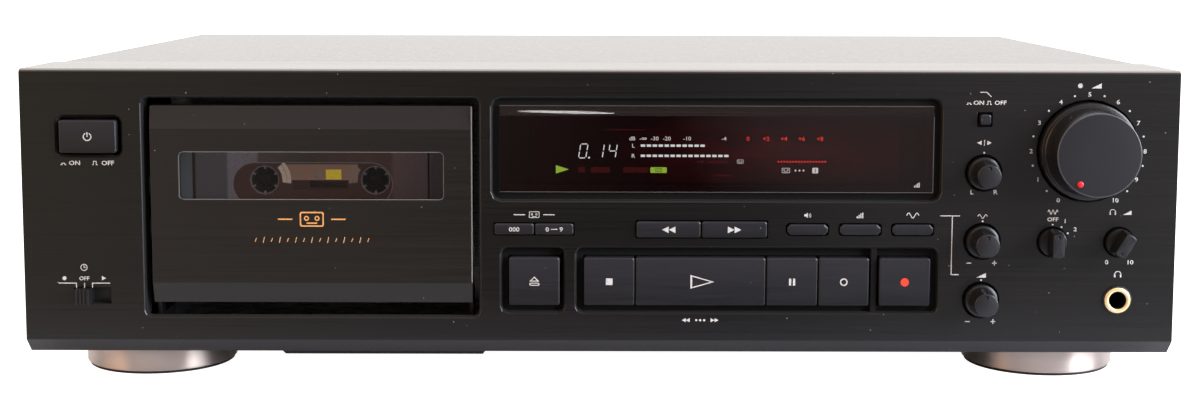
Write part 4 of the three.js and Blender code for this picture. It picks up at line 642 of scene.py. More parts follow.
class Print(Solids):
    """Printed marks on a flat surface at one depth."""

    def __init__(self, depth=0.0, proud=INK_PROUD):
        super().__init__()
        self.front, self.back = depth - proud, depth + INK_SUNK

    def shape(self, outline, slot=0):
        self.prism(outline, self.front, self.back, slot)

    def bar(self, left, right, bottom, top, slot=0):
        self.shape(rectangle(left, right, bottom, top), slot)

    def dot(self, x, z, radius, slot=0):
        self.shape(circle(x, z, radius, 20), slot)

    def ring(self, x, z, radius, width, slot=0, start=0.0, turn=1.0):
        outer, inner = (circle(x, z, edge, 32, start, turn) for edge in (radius, radius - width))
        if turn == 1.0:
            self.frame(outer, inner, slot)
        else:
            self.shape([*outer, *inner[::-1]], slot)

    def frame(self, outline, inner, slot=0):
        self.band(outline, inner, self.front, self.back, slot)

    def line(self, points, width, slot=0):
        """A line of even width through (x, z) points, mitred at its corners."""
        sides = {1: [], -1: []}
        for i, (x, z) in enumerate(points):
            before = Vector(points[max(i - 1, 0)])
            after = Vector(points[min(i + 1, len(points) - 1)])
            here = Vector((x, z))
            first = (here - before).normalized() if i else (after - here).normalized()
            second = (after - here).normalized() if i + 1 < len(points) else first
            across = Vector((-first.y - second.y, first.x + second.x))
            across /= max(across.length_squared / 2, 0.2)
            for way in sides:
                sides[way].append(tuple(here + across * way * width / 2))
        self.shape([*sides[-1], *sides[1][::-1]], slot)

    def text(self, words, x, z, height, slot=0, stretch=1.15, bold=0.02):
        """Letters of a cap height in millimetres, centred on a place."""
        letters = bpy.data.curves.new("letters", "FONT")
        letters.body = words
        letters.size = height / CAP_SHARE
        letters.align_x = "CENTER"
        letters.resolution_u = 2
        letters.extrude = 0.5
        letters.offset = bold * height
        holder = bpy.data.objects.new("letters", letters)
        mesh = holder.to_mesh()
        points, places, corner = [], {}, []
        for v in mesh.vertices:
            point = (round(x + v.co.x * stretch, 4), self.front if v.co.z > 0 else self.back,
                     round(z - height / 2 + v.co.y, 4))
            if point not in places:
                places[point] = len(points)
                points.append(point)
            corner.append(places[point])
        faces = [list(dict.fromkeys(corner[i] for i in p.vertices)) for p in mesh.polygons]
        self.add(points, [face for face in faces if len(face) > 2], slot)
        holder.to_mesh_clear()
        bpy.data.objects.remove(holder)
        bpy.data.curves.remove(letters)

    def sign(self, name, x, z, size, slot=0):
        """One of the pictograms, round a place."""
        def at(points):
            return [(x + across * size, z + up * size) for across, up in points]

        for kind, *values in SIGNS[name]:
            if kind == "line":
                self.line(at(values[0]), values[1] * size, slot)
            elif kind == "ring":
                radius, width, *arc = values[1:]
                self.ring(*at(values[:1])[0], radius * size, width * size, slot, *arc)
            elif kind == "frame":
                self.frame(at(values[0]), at(values[1]), slot)
            else:
                self.shape(at(values[0]), slot)

    def marks(self, x, z, rows):
        """Pictograms by their names, and other words as text. Each has its shift from a place, and
        its share of the height of signs or of numbers."""
        for what, across, up, share, *stretch in rows:
            if what in SIGNS:
                self.sign(what, x + across, z + up, share * settings().label_height)
            else:
                self.text(what, x + across, z + up, share * settings().number_height, 0, *stretch)

    def lines(self, x, z, rows):
        """Lines through points that are shifts from a place."""
        for points in rows:
            self.line([(x + across, z + up) for across, up in points], settings().line_width)


# Pictograms round (0, 0). The panel's are one unit high; the keys' own are drawn in millimetres

def triangle(x, size, way):
    """A filled triangle that points left or right."""
    points = [(x - way * size / 2, -size / 2), (x + way * size / 2, 0), (x - way * size / 2, size / 2)]
    return "shape", points[::way]


def block(left, right, bottom, top):
    return "shape", rectangle(left, right, bottom, top)


def wave(turns):
    """A sine wave, two units wide."""
    steps = 24
    points = [(2 * i / steps - 1, 0.42 * math.sin(2 * math.pi * turns * i / steps)) for i in range(steps + 1)]
    return "line", points, 0.14


PLAY = ((-3.8, -2.6), (5.1, 0), (-3.8, 2.6))
PLAY_CENTRE = (PLAY[0][0] + PLAY[1][0] / 2) / 1.5
SIGNS = {
    # Pressed and released keys: a low and a high step on a base line
    "key_in": [("line", ((-0.5, 0), (-0.25, 0), (-0.25, 0.25), (0.25, 0.25), (0.25, 0), (0.5, 0)), 0.12)],
    "key_out": [("line", ((-0.5, 0), (-0.25, 0), (-0.25, 0.6), (0.25, 0.6), (0.25, 0), (0.5, 0)), 0.12)],
    "power": [("ring", (0, 0), 0.5, 0.12, 0.32, 0.86), block(-0.06, 0.06, 0, 0.55)],
    "clock": [("ring", (0, 0), 0.5, 0.1), ("line", ((0, 0.32), (0, 0), (0.24, 0)), 0.1)],
    "dot": [("shape", circle(0, 0, 1, 20))],
    "arrow": [triangle(0, 1, 1)],
    "back": [triangle(-0.5, 1, -1), triangle(0.5, 1, -1)],
    "forward": [triangle(-0.5, 1, 1), triangle(0.5, 1, 1)],
    "cassette": [
        ("frame", rectangle(-0.8, 0.8, -0.5, 0.5, 0.14), rectangle(-0.71, 0.71, -0.41, 0.41, 0.095)),
        ("ring", (-0.352, 0.06), 0.17, 0.08), ("ring", (0.352, 0.06), 0.17, 0.08),
        ("line", ((-0.352, -0.26), (0.352, -0.26)), 0.09)],
    "bars": [block(0.32 * i - 0.64, 0.32 * i - 0.448, -0.5, share - 0.5)
             for i, share in enumerate((0.35, 0.6, 0.85, 1.0))],
    "wave": [wave(1.5)],
    "fast_wave": [wave(2.5)],
    # A response that falls off
    "filter": [("line", ((-1, 0.35), (0.2, 0.35), (1, -0.45)), 0.14)],
    "headphones": [("ring", (0, 0), 0.5, 0.1, 0.0, 0.5), block(-0.52, -0.32, -0.42, 0.02),
                   block(0.32, 0.52, -0.42, 0.02)],
    # A rising wedge, for more and less
    "ramp": [("shape", ((-1, -0.5), (1, -0.5), (1, 0.5)))],
    "speaker": [
        ("shape", ((-0.6, -0.2), (-0.3, -0.2), (0, -0.5), (0, 0.5), (-0.3, 0.2), (-0.6, 0.2))),
        ("ring", (0, 0), 0.35, 0.1, -0.12, 0.24), ("ring", (0, 0), 0.6, 0.1, -0.12, 0.24)],
    "balance": [triangle(-0.9, 0.8, -1), block(-0.07, 0.07, -0.5, 0.5), triangle(0.9, 0.8, 1)],
    "stop": [block(-1.25, 1.25, -1.25, 1.25)],
    "play": [("frame", PLAY, [(PLAY_CENTRE + (x - PLAY_CENTRE) * 0.78, z * 0.76) for x, z in PLAY])],
    "pause": [block(-1.17, -0.33, -1.3, 1.3), block(0.33, 1.17, -1.3, 1.3)],
    "mute": [("ring", (0, 0), 1.45, 0.48)],
    "eject": [
        ("frame", ((-1.9, 0), (1.9, 0), (0, 1.9)), ((-1.05, 0.36), (1.05, 0.36), (0, 1.36))),
        ("frame", rectangle(-1.9, 1.9, -1.55, -0.45, 0.5), rectangle(-1.55, 1.55, -1.25, -0.75, 0.2))],
    "dash": [("line", ((-1.2, 0), (1.2, 0)), 0.32)],
}

# What stands on each key, its shift to the side in mm, and its size; words have the numbers' height
KEY_SIGNS = {
    "stop": (("stop", 0, 1),), "play": (("play", 0, 1),), "pause": (("pause", 0, 1),),
    "rec_mute": (("mute", 0, 1),), "record": (("dot", 0, 1.55),), "eject": (("eject", 0, 1),),
    "rewind": (("back", 0, 2.5),), "fast_forward": (("forward", 0, 2.5),),
    "counter_reset": (("000", 0, 0),), "counter_memory": (("0", -2.6, 0), ("dash", 0, 1), ("9", 2.6, 0)),
    "power": (("power", 0, 3.2),),
}

# What is printed round each control: a sign or words, the shift from its middle in mm, and the share
# of the usual height
PANEL_MARKS = {
    "power_button": (("key_in", -9.6, -10.6, 1), ("ON", -5.4, -9.9, 1), ("key_out", 2.1, -10.6, 1),
                     ("OFF", 6.9, -9.9, 1)),
    "timer_slider": (("clock", 0, 10.6, 1.238095), ("dot", -7.4, 6.5, 0.357143),
                     ("OFF", 0, 6.5, 0.9, 1.05), ("arrow", 7.4, 6.5, 0.761905)),
    "monitor_button": (("speaker", 0, 5.4, 1),),
    "display_mode_button": (("bars", 0, 5.4, 1),),
    "calibration_button": (("wave", 0, 5.4, 1.1),),
    "play_button": (("back", -5.4, -14.7, 0.714286), ("forward", 5.4, -14.7, 0.714286),
                    ("dot", -1.5, -14.7, 0.2), ("dot", 0, -14.7, 0.2), ("dot", 1.5, -14.7, 0.2)),
    "filter_button": (("filter", 0, 9.4, 1), ("key_in", -6.0, 5.6, 0.952381), ("ON", -2.4, 6.3, 0.95),
                      ("key_out", 1.4, 5.6, 0.952381), ("OFF", 5.6, 6.3, 0.95)),
    "balance_knob": (("balance", 0, 11.3, 1), ("L", -4.3, -7.1, 1), ("R", 4.5, -7.1, 1),
                     ("dot", 0, 7.6, 0.171429)),
    "bias_knob": (("wave", 0, 9.4, 0.85), ("dot", 0, 7.6, 0.171429)),
    "cal_level_knob": (("ramp", 0, 9.4, 0.85), ("dot", 0, 7.6, 0.171429)),
    "level_knob": (("dot", -3.6, 24.3, 0.42), ("ramp", 2.4, 24.3, 0.9)),
    "selector_knob": (("fast_wave", 0, 11.3, 0.9),),
    "phone_level_knob": (("headphones", -2.6, 11.3, 1.1), ("ramp", 2.8, 11.1, 0.75), ("0", -4.3, -7.5, 1),
                         ("10", 4.4, -7.5, 1)),
    "headphone_jack": (("headphones", 0, 9.7, 1.25),),
}
MINUS_AND_PLUS = (((-5.7, -8.2), (-3.9, -8.2)), ((3.9, -8.2), (5.7, -8.2)), ((4.8, -9.1), (4.8, -7.3)))
PANEL_LINES = {
    "timer_slider": (((-9.6, 4.65), (-3.0, 4.65), (-3.0, 2.95)), ((9.6, 4.65), (3.0, 4.65), (3.0, 2.95)),
                     ((0, 4.75), (0, 2.95))),
    "bias_knob": MINUS_AND_PLUS,
    "cal_level_knob": MINUS_AND_PLUS,
}


# Settings that a user would change

class DeckFinishSettings(bpy.types.PropertyGroup):
    edge_break: bpy.props.FloatProperty(
        name="Edge break", description="Width of the broken edges on panels and keys, in millimetres",
        default=0.22, min=0.0, max=1.0)
    label_height: bpy.props.FloatProperty(
        name="Label height", description="Height of the printed signs, in millimetres",
        default=2.1, min=1.0, max=4.0)
    number_height: bpy.props.FloatProperty(
        name="Number height", description="Height of the printed numbers, in millimetres",
        default=1.7, min=1.0, max=4.0)
    line_width: bpy.props.FloatProperty(
        name="Line width", description="Width of the printed lines, in millimetres",
        default=0.32, min=0.1, max=1.0)


class DeckStudioSettings(bpy.types.PropertyGroup):
    window_power: bpy.props.FloatProperty(
        name="Window light", description="Power of the tall soft light at the right, in watts",
        default=64.0, min=0.0, unit="POWER")
    fill_power: bpy.props.FloatProperty(
        name="Warm fill", description="Power of the dim warm light at the left, in watts",
        default=9.5, min=0.0, unit="POWER")
    streak_power: bpy.props.FloatProperty(
        name="Lamp streak", description="Power of the thin lamp that the display's bevel mirrors, in watts",
        default=0.012, min=0.0, unit="POWER")
    backdrop: bpy.props.FloatProperty(
        name="Backdrop", description="Brightness of the white surroundings behind the deck",
        default=1.92, min=0.0, max=4.0)
    table_left: bpy.props.FloatVectorProperty(
        name="Table at the left", description="Light that the table's left end gives to reflections",
        subtype="COLOR", default=(0.8, 0.7, 0.57), min=0.0, max=1.0)
    table_right: bpy.props.FloatVectorProperty(
        name="Table at the right", description="Light that the table's right end gives to reflections",
        subtype="COLOR", default=(0.78, 0.75, 0.77), min=0.0, max=1.0)
    floor: bpy.props.FloatProperty(
        name="Floor", description="Light that the white floor gives off to the camera",
        default=1.0, min=0.0, max=2.0)
    ceiling: bpy.props.FloatProperty(
        name="Ceiling", description="Brightness of the room above and in front of the deck",
        default=1.15, min=0.0, max=2.0)
    room: bpy.props.FloatProperty(
        name="Room", description="Brightness of the dark room in front of the deck",
        default=0.1, min=0.0, max=2.0)


def settings():
    return bpy.context.scene.deck_finish


# The pieces

class DECK_OT_dress_case(bpy.types.Operator):
    """Gives the case, the rear and the inner pieces their finishes"""
    bl_idname = "deck.dress_case"
    bl_label = "Dress the case"

    def execute(self, context):
        soften("front_panel", settings().edge_break * 0.7, "panel")
        soften("top_cover", 0.4, "enamel")
        soften("power_transformer", 0.3, "laminations")
        for finish_name, names in (
                ("enamel", ("bottom_chassis", "rear_panel")),
                ("board", ("display_board", "key_board", "pot_board", "main_board")),
                ("steel", ("transport_plate", "capstan_flywheel", "capstan_motor", "reel_motor",
                           "head_carriage")),
                ("rubber", ("drive_belt", "pinch_roller", "cord_bushing")),
                ("black", ("power_switch", "timer_switch", "cassette_holder", "reel_spindle_left",
                           "reel_spindle_right", "headphone_jack")),
                ("gold", ("motor_pulley", "line_sockets"))):
            for name in names:
                soften(name, 0, finish_name)
        return {"FINISHED"}


class DECK_OT_dress_keys(bpy.types.Operator):
    """Gives the keys and the timer slider their finish and prints their signs"""
    bl_idname = "deck.dress_keys"
    bl_label = "Dress the keys"

    def execute(self, context):
        for name in [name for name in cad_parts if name.endswith("_button")]:
            soften(name, settings().edge_break * 0.6, "key")
        soften("timer_slider", 0.1, "black")
        for key, signs in KEY_SIGNS.items():
            x, z = middle(key + "_button")
            ink = Print(front_of(key + "_button"))
            for what, across, size in signs:
                if what in SIGNS:
                    ink.sign(what, x + across, z, size)
                else:
                    ink.text(what, x + across, z, settings().number_height)
            ink.make(key + "_sign", key + "_button", "red_ink" if key == "record" else "white_ink")
        return {"FINISHED"}


class DECK_OT_print_panel(bpy.types.Operator):
    """Prints the numbers, letters, lines and signs on the front panel"""
    bl_idname = "deck.print_panel"
    bl_label = "Print the panel"

    def execute(self, context):
        ink = Print()
        for name, rows in PANEL_MARKS.items():
            ink.marks(*middle(name), rows)
        for name, rows in PANEL_LINES.items():
            ink.lines(*middle(name), rows)
        self.counter_label(ink)
        self.calibration_bracket(ink)
        self.level_scale(ink)
        self.selector_scale(ink)
        ink.make("panel_print", "cabinet", "white_ink")
        return {"FINISHED"}

    def counter_label(self, ink):
        """A cassette between two dashes, over the counter's two keys."""
        left, _ = middle("counter_reset_button")
        right, z = middle("counter_memory_button")
        x = (left + right) / 2
        ink.marks(x, z, [("cassette", 0, 5.4, 1.15)])
        ink.lines(x, z, [((way * 3.4, 5.4), (way * 7.6, 5.4)) for way in (-1, 1)])

    def calibration_bracket(self, ink):
        """The line that joins the calibration key to the bias and level knobs."""
        x, z = middle("bias_knob")
        up = middle("calibration_button")[1] + 5.3 - z
        ink.lines(x, z, [((-15.9, up), (-8.5, up)), ((-11.3, up), (-11.3, -12.6), (-8.4, -12.6))])

    def level_scale(self, ink):
        """Numbers from 0 to 10 over 300 degrees, with a dot between each two."""
        reach = 21.2
        for half in range(21):
            what, share = ("dot", 0.180952) if half % 2 else (str(half // 2), 1)
            ink.marks(*middle("level_knob"), [(what, *clockwise(15 * half - 150, reach), share)])

    def selector_scale(self, ink):
        """Three places, 30 degrees apart."""
        for count, words in enumerate(("OFF", "1", "2")):
            for what, reach, share in (("dot", 6.6, 0.161905), (words, 8.6 + 0.6 * count, 0.9)):
                ink.marks(*middle("selector_knob"), [(what, *clockwise(30 * count, reach), share)])


class DECK_OT_make_knobs(bpy.types.Operator):
    """Turns the knobs at full roundness, in place of the faceted ones"""
    bl_idname = "deck.make_knobs"
    bl_label = "Make the knobs"

    def execute(self, context):
        self.level_knob()
        for name in ("balance_knob", "bias_knob", "cal_level_knob"):
            self.small_knob(name)
        self.bar_knob("selector_knob", 0)
        self.bar_knob("phone_level_knob", 210)
        return {"FINISHED"}

    def level_knob(self):
        centre = middle("level_knob")
        front = front_of("level_knob")
        knob = Solids()
        knob.turned([
            (0, front), (6.0, front + 0.02), (11.0, front + 0.12), (15.25, front + 0.45),
            (15.5, front + 0.85), (16.25, -8.0), (16.65, -3.9), (16.95, -3.62),
            (17.6, -3.5), (18.0, -3.2), (18.18, -2.7), (18.2, 1.9), (5.0, 1.9), (0, 1.9),
        ], centre, face_steps=3)
        knob.make("level_knob_turned", "level_knob", "knob", "knob_face", slot="knob", smooth=30,
                  instead="level_knob")
        # Painted highlight: a pale ring on the rim of the knob's face.
        edge = Solids()
        edge.turned([(15.0, front + 0.4), (15.28, front + 0.4), (15.46, front + 0.62),
                     (15.4, front + 0.8), (15.0, front + 0.8), (15.0, front + 0.4)], centre)
        edge.make("level_knob_edge", "level_knob", "knob_edge", slot="knob", smooth=60)
        dot = Solids()
        dot.turned([(0, front - 0.45), (0.5, front - 0.42), (0.9, front - 0.3), (1.12, front - 0.1),
                    (1.18, front + 0.3), (0, front + 0.3)], middle("level_knob_dot"), 32)
        dot.make("level_knob_inlay", "level_knob", "dot_red", slot="red", smooth=60,
                 instead="level_knob_dot")

    def small_knob(self, name):
        x, z = middle(name)
        front = front_of(name)
        knob = Solids()
        knob.turned([
            (0, front), (3.9, front + 0.06), (4.2, front + 0.2), (4.38, front + 0.45), (5.0, -3.0),
            (5.2, -2.35), (5.6, -2.2), (5.95, -2.0), (6.08, -1.6), (6.1, 1.9), (0, 1.9),
        ], (x, z), 80, face_steps=1)
        piece = knob.make(name + "_turned", name, "knob", "knob_face", slot="knob", smooth=30)
        dimple(piece, x, front - 0.15, z + 2.9, 0.72)
        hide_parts(name)

    def bar_knob(self, name, degrees):
        """A round knob with two flat flanks, which leave a bar that points at the scale."""
        x, z = middle(name)
        front = front_of(name)
        half_bar, pointer = 2.15, 3.4
        across, up = clockwise(degrees, 1)
        skirt = Solids()
        skirt.turned([(0, -2.2), (4.7, -2.2), (5.05, -2.05), (5.2, -1.7), (5.2, 1.9), (0, 1.9)], (x, z), 80)
        skirt.make(name + "_skirt", name, "knob", slot="knob", smooth=30, instead=name)
        grip = Solids()
        grip.turned([(0, front), (4.2, front), (4.4, front + 0.12), (4.5, front + 0.3), (5.1, -2.1),
                     (0, -2.1)], (x, z), 80, face_steps=1)
        piece = grip.make(name + "_grip", name, "knob", "knob_face", slot="knob", smooth=30)
        for way in (-1, 1):
            normal = Vector((up, 0, -across)) * way
            trim(piece, place(x, 0, z) + normal * half_bar * MM, normal)
        dimple(piece, x + pointer * across, front - 0.1, z + pointer * up, 0.5)
        modifier(piece, "edge", "BEVEL", width=0.18 * MM, segments=2, limit_method="ANGLE",
                 angle_limit=math.radians(50), use_clamp_overlap=False)


class DECK_OT_make_display(bpy.types.Operator):
    """Lights the counter, the level meter and the small signs behind the dark glass"""
    bl_idname = "deck.make_display"
    bl_label = "Make the display"
    finishes = ("lit_white", "lit_soft", "lit_red", "lit_lime", "unlit_red", "black")
    WHITE, SOFT, RED, LIME, UNLIT, DARK = range(6)

    def execute(self, context):
        soften("display_window", 0.15, "display_glass")
        soften("display_tube", 0.3, "tube")
        display_edge_highlights()
        self.depth = front_of("display_tube")
        lit = Print(self.depth, 0.12)
        self.counter(lit)
        self.meter(lit)
        self.signs(lit)
        lit.make("display_lit", "cabinet", *self.finishes)
        glass = Print(front_of("display_window"))
        _, right, bottom, _ = edges_of("display_window")
        glass.sign("bars", right - 6.0, bottom + 3.3, 1.8)
        glass.make("display_print", "cabinet", "white_ink")
        return {"FINISHED"}

    def at(self, x, z):
        return seen_at(x, z, self.depth)

    def lit_bar(self, lit, left, right, low, high, slot, less=0.0):
        """A bar between edges that are read on the panel's face."""
        (x0, z0), (x1, z1) = self.at(left, low), self.at(right, high)
        lit.bar(x0, x1, z0 + less, z1 - less, slot)

    def counter(self, lit):
        """Seven-segment digits that lean to the right."""
        bottom, height, width = 74.35, 5.2, 2.7
        lean, stroke, clear = 0.16, 0.36, 0.3
        half = height / 2
        segments = {
            "a": ((clear, height), (width - clear, height)), "g": ((clear, half), (width - clear, half)),
            "d": ((clear, 0), (width - clear, 0)), "f": ((0, half + clear), (0, height - clear)),
            "b": ((width, half + clear), (width, height - clear)), "e": ((0, clear), (0, half - clear)),
            "c": ((width, clear), (width, half - clear)),
        }
        for left, shown in ((-8.0, "abcdef"), (-1.9, "bc"), (2.9, "fgbc")):
            for name in shown:
                points = [self.at(left + x + z * lean, bottom + z) for x, z in segments[name]]
                lit.line(points, stroke, self.WHITE)
        lit.dot(*self.at(-4.1, bottom + 0.1), 0.36, self.WHITE)

    def meter(self, lit):
        """The scale, two rows of segments, and the short red row of the warning under it."""
        for words, x in (("dB", 11.9), ("-∞", 16.0), ("-30", 20.3), ("-20", 24.8), ("-10", 32.3),
                         ("-4", 46.0)):
            lit.text(words, *self.at(x, 81.7), 1.5, self.SOFT, stretch=1.1, bold=0.012)
        for words, x in (("0", 54.9), ("+2", 61.6), ("+4", 68.2), ("+6", 74.8), ("+8", 81.6)):
            lit.text(words, *self.at(x, 81.7), 1.6, self.RED, stretch=1.1, bold=0.012)
        first, pitch, length, height = 15.1, 2.213, 1.62, 0.85
        for letter, z, count in (("L", 79.0, 11), ("R", 75.2, 15)):
            lit.text(letter, *self.at(12.3, z), 1.5, self.SOFT, stretch=1.1, bold=0.012)
            for i in [*range(count), *range(16, 31)]:
                left = first + i * pitch
                slot, less = (self.WHITE, 0.0) if i < count else (self.UNLIT, 0.2)
                self.lit_bar(lit, left, left + length, z - height / 2, z + height / 2, slot, less)
        for i in range(17):
            x, z = self.at(66.3 + i * (83.7 - 66.3) / 16, 73.1)
            lit.bar(x - 0.27, x + 0.27, z - 0.3, z + 0.3, self.RED)

    def signs(self, lit):
        """The play arrow, the ghosts of what isn't lit, the lime block and the signs at the right."""
        lit.shape([self.at(-16.4, 71.6), self.at(-16.4, 68.5), self.at(-11.6, 70.05)], self.LIME)
        for edges in ((-8.2, -5.6, 68.9, 70.9), (-3.4, 3.7, 68.9, 70.9), (8.6, 18.0, 68.9, 70.9),
                      (2.1, 16.5, 84.7, 85.1), (56.0, 65.0, 84.7, 85.1), (36.0, 39.0, 72.6, 73.4),
                      (40.0, 47.4, 72.6, 73.4), (42.0, 49.0, 67.6, 68.2)):
            self.lit_bar(lit, *edges, self.UNLIT)
        (x0, z0), (x1, z1) = self.at(18.7, 68.8), self.at(24.8, 70.9)
        lit.shape(rectangle(x0, x1, z0, z1, 0.3), self.LIME)
        lit.sign("cassette", *self.at(52.1, 73.1), 1.5, self.SOFT)
        x, z = self.at(69.1, 69.8)
        lit.sign("cassette", x, z, 1.9, self.SOFT)
        for i in range(3):
            lit.dot(x + 3.6 + i * 1.5, z, 0.35, self.SOFT)
        x, z = self.at(80.0, 69.8)
        lit.shape(rectangle(x - 1.1, x + 1.1, z - 1.05, z + 1.05, 0.3), self.SOFT)
        dark = Print(self.depth - 0.12)
        dark.sign("cassette", (x0 + x1) / 2, (z0 + z1) / 2, 1.5)
        dark.text("1", x, z, 1.4)
        lit.add(dark.points, dark.faces, self.DARK)


def display_edge_highlights():
    """Painted highlights on the display glass's edges: pale bars along the slope's top, the right side and
    the bottom.
    """
    left, right, bottom, top = edges_of("display_window")
    front, slope, width = front_of("display_window"), 1.1, 0.26
    edge = Print(front + slope)
    edge.bar(left, right, top - width, top)
    edge.make("display_lip_top", "cabinet", "dim_edge")
    edge = Print(front)
    edge.bar(right - width, right, bottom + width, top - 4.0)
    edge.bar(left + width, right - width, bottom + 0.3, bottom + 0.3 + width)
    edge.make("display_lip_sides", "cabinet", "dim_edge")


class DECK_OT_make_door(bpy.types.Operator):
    """Gives the door its plate, window and ornament"""
    bl_idname = "deck.make_door"
    bl_label = "Make the door"

    def execute(self, context):
        soften("door_panel", settings().edge_break * 1.6, "door")
        soften("door_window", 0.25, "door_glass")
        self.window_edge_highlight()
        x, _ = middle("door_panel")
        front = front_of("door_panel")
        sign, ticks = ORNAMENT
        ink = Print(front)
        ink.sign("cassette", x, sign, 5.6)
        for way in (-1, 1):
            ink.line([(x + way * 7.2, sign), (x + way * 12.6, sign)], 0.5)
        for i in range(15):
            step = (i - 7) * 3.0
            tall = 1.1 if i % 2 else 0.7
            ink.line([(x + step - 0.25, ticks - tall), (x + step + 0.25, ticks + tall)], 0.28)
        ink.make("door_print", "door", "orange_ink")
        # Painted highlight: a thin pale line along the door's right edge.
        edge = Print(front)
        right = edges_of("door_panel")[1] - DOOR_LIP
        edge.bar(right - 0.5, right - 0.02, 27.2, 93.2)
        edge.make("door_edge_line", "door", "polished_edge")
        return {"FINISHED"}

    def window_edge_highlight(self):
        """A painted highlight: a thin pale frame round the window's edge."""
        flange, corner, width = 2.0, 1.7, 0.24
        left, right, bottom, top = edges_of("door_window")
        outlines = [rectangle(left + flange + inward, right - flange - inward, bottom + flange + inward,
                              top - flange - inward, corner - inward) for inward in (0, width)]
        edge = Print(front_of("door_window"), 0.04)
        edge.frame(*outlines)
        edge.make("door_window_lip", "door", "polished_edge")


class DECK_OT_make_cassette(bpy.types.Operator):
    """Makes the cassette's label, sight strip, hubs and tape"""
    bl_idname = "deck.make_cassette"
    bl_label = "Make the cassette"

    def execute(self, context):
        soften("cassette_shell", 0.25, "shell_dark")
        self.left, self.hub = middle("reel_spindle_left")
        self.right, _ = middle("reel_spindle_right")
        self.depth = front_of("cassette_shell") + 1.65      # the thin part's front, behind the head end's
        self.label()
        self.sight()
        for side, radius in (("left", 16.5), ("right", 11.5)):
            self.reel(side, radius)
        return {"FINISHED"}

    def label(self):
        """Paper label with a round-ended opening at the hubs, its rim, and what stands beside it."""
        left, right, _, top = edges_of("cassette_shell")
        low, high = self.hub - 10.1, self.hub + 6.9
        reach = (high - low) / 2
        pill = rectangle(self.left - 12.3, self.right + 6.7, low, high, reach, 16)
        middle_x = sum(x for x, _ in pill) / len(pill)
        ink = Print(self.depth, 0.1)
        centre = Vector((middle_x, self.hub - 1.6))
        ink.frame(self.around(pill, centre, left + 2.65, right - 8.85, self.hub - 14.0, top - 3.0), pill)
        ink.bar(right - 8.1, right - 0.6, self.hub - 14.0, top - 3.0)
        ink.make("cassette_label", "door", "label", slot="shell")
        inner = [(middle_x + (x - middle_x) * 0.992, low + reach + (z - low - reach) * 0.965)
                 for x, z in pill]
        rim = Solids()
        rim.band(pill, inner, self.depth - 0.12, self.depth + 0.02)
        rim.make("cassette_label_rim", "door", "shell_label")
        guide = Print(front_of("cassette_holder"), 0.15)
        for slot, guide_left, guide_right in ((0, -159.2, -153.6), (1, -153.6, -152.8)):
            guide.bar(guide_left, guide_right, self.hub - 9.0, top - 10.0, slot)
        guide.make("holder_guide", "door", "guide", "black")
        gap = Print(self.depth - 0.1, 0.1)
        gap.bar(right - 8.85, right - 8.15, self.hub - 9.0, top - 3.0)
        gap.make("label_gap", "door", "black")

    def around(self, pill, centre, left, right, bottom, top):
        """A point on the label's edge for each point of the opening, straight out from its centre."""
        edge = []
        for point in pill:
            way = Vector(point) - centre
            reaches = []
            if way.x:
                reaches.append(((right if way.x > 0 else left) - centre.x) / way.x)
            if way.y:
                reaches.append(((top if way.y > 0 else bottom) - centre.y) / way.y)
            edge.append(tuple(centre + way * min(reaches)))
        return edge

    def sight(self):
        """The strip between the hubs, with its scale, the yellow mark and the middle screw."""
        ink = Print(self.depth, 0.08)
        ink.bar(self.left + 6.6, self.right - 6.6, self.hub, self.hub + 6.1, 0)
        for x, start, turn, slot in ((self.left, -0.02, 0.14, 1), (self.right, 0.4, 0.12, 2)):
            for inner, outer in ((6.9, 8.5), (8.7, 10.2)):
                ink.ring(x, self.hub, outer, outer - inner, slot, start, turn)
        ink.make("cassette_sight", "door", "sight", "bright_ink", "dull_ink")
        mark = Print(self.depth - 0.08, 0.08)
        middle_x = (self.left + self.right) / 2
        mark.bar(middle_x + 2.3, middle_x + 8.2, self.hub + 0.3, self.hub + 4.1)
        mark.make("cassette_mark", "door", "yellow_ink")
        screw = Solids()
        screw.turned([(0, self.depth - 0.35), (0.9, self.depth - 0.35), (1.15, self.depth - 0.1),
                      (1.15, self.depth + 0.3), (0, self.depth + 0.3)],
                     (middle_x - 0.6, self.hub + 1.8), 24)
        screw.make("cassette_screw", "door", "dull_ink", smooth=30)

    def reel(self, side, tape_radius):
        """A hub with six teeth, pale in front and in shade behind, and the tape wound on it."""
        name = f"cassette_reel_{side}"
        x, z = middle(f"reel_spindle_{side}")
        front, back = ((corner.y - FACE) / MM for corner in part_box(name))
        outer, inner, tip = 5.75, 5.15, 4.2
        rim = circle(x, z, outer, 48)
        hub = Solids()
        hub.band(rim, circle(x, z, inner, 48), front + 0.3, front + 1.1)
        hub.band(rim, circle(x, z, inner - 0.01, 48), front + 1.1, back, 1)
        for i in range(6):
            angle = 2 * math.pi * (i + 0.5) / 6
            along = Vector((math.cos(angle), math.sin(angle)))
            across = Vector((-along.y, along.x)) * 0.42
            root, end = Vector((x, z)) + along * (inner + 0.1), Vector((x, z)) + along * tip
            tooth = [tuple(c) for c in (root - across, root + across, end + across * 0.8, end - across * 0.8)]
            hub.prism(tooth, front + 0.4, front + 1.4)
            hub.prism(tooth, front + 1.41, back - 0.3, 1)
        hub.make(name + "_hub", name, "hub", "hub_shade", slot="hub", instead=name)
        tape = Solids()
        tape.band(circle(x, z, tape_radius, 96), circle(x, z, outer + 0.02, 96), front + 1.4, back - 1.4)
        tape.make(name + "_tape", name, "tape")


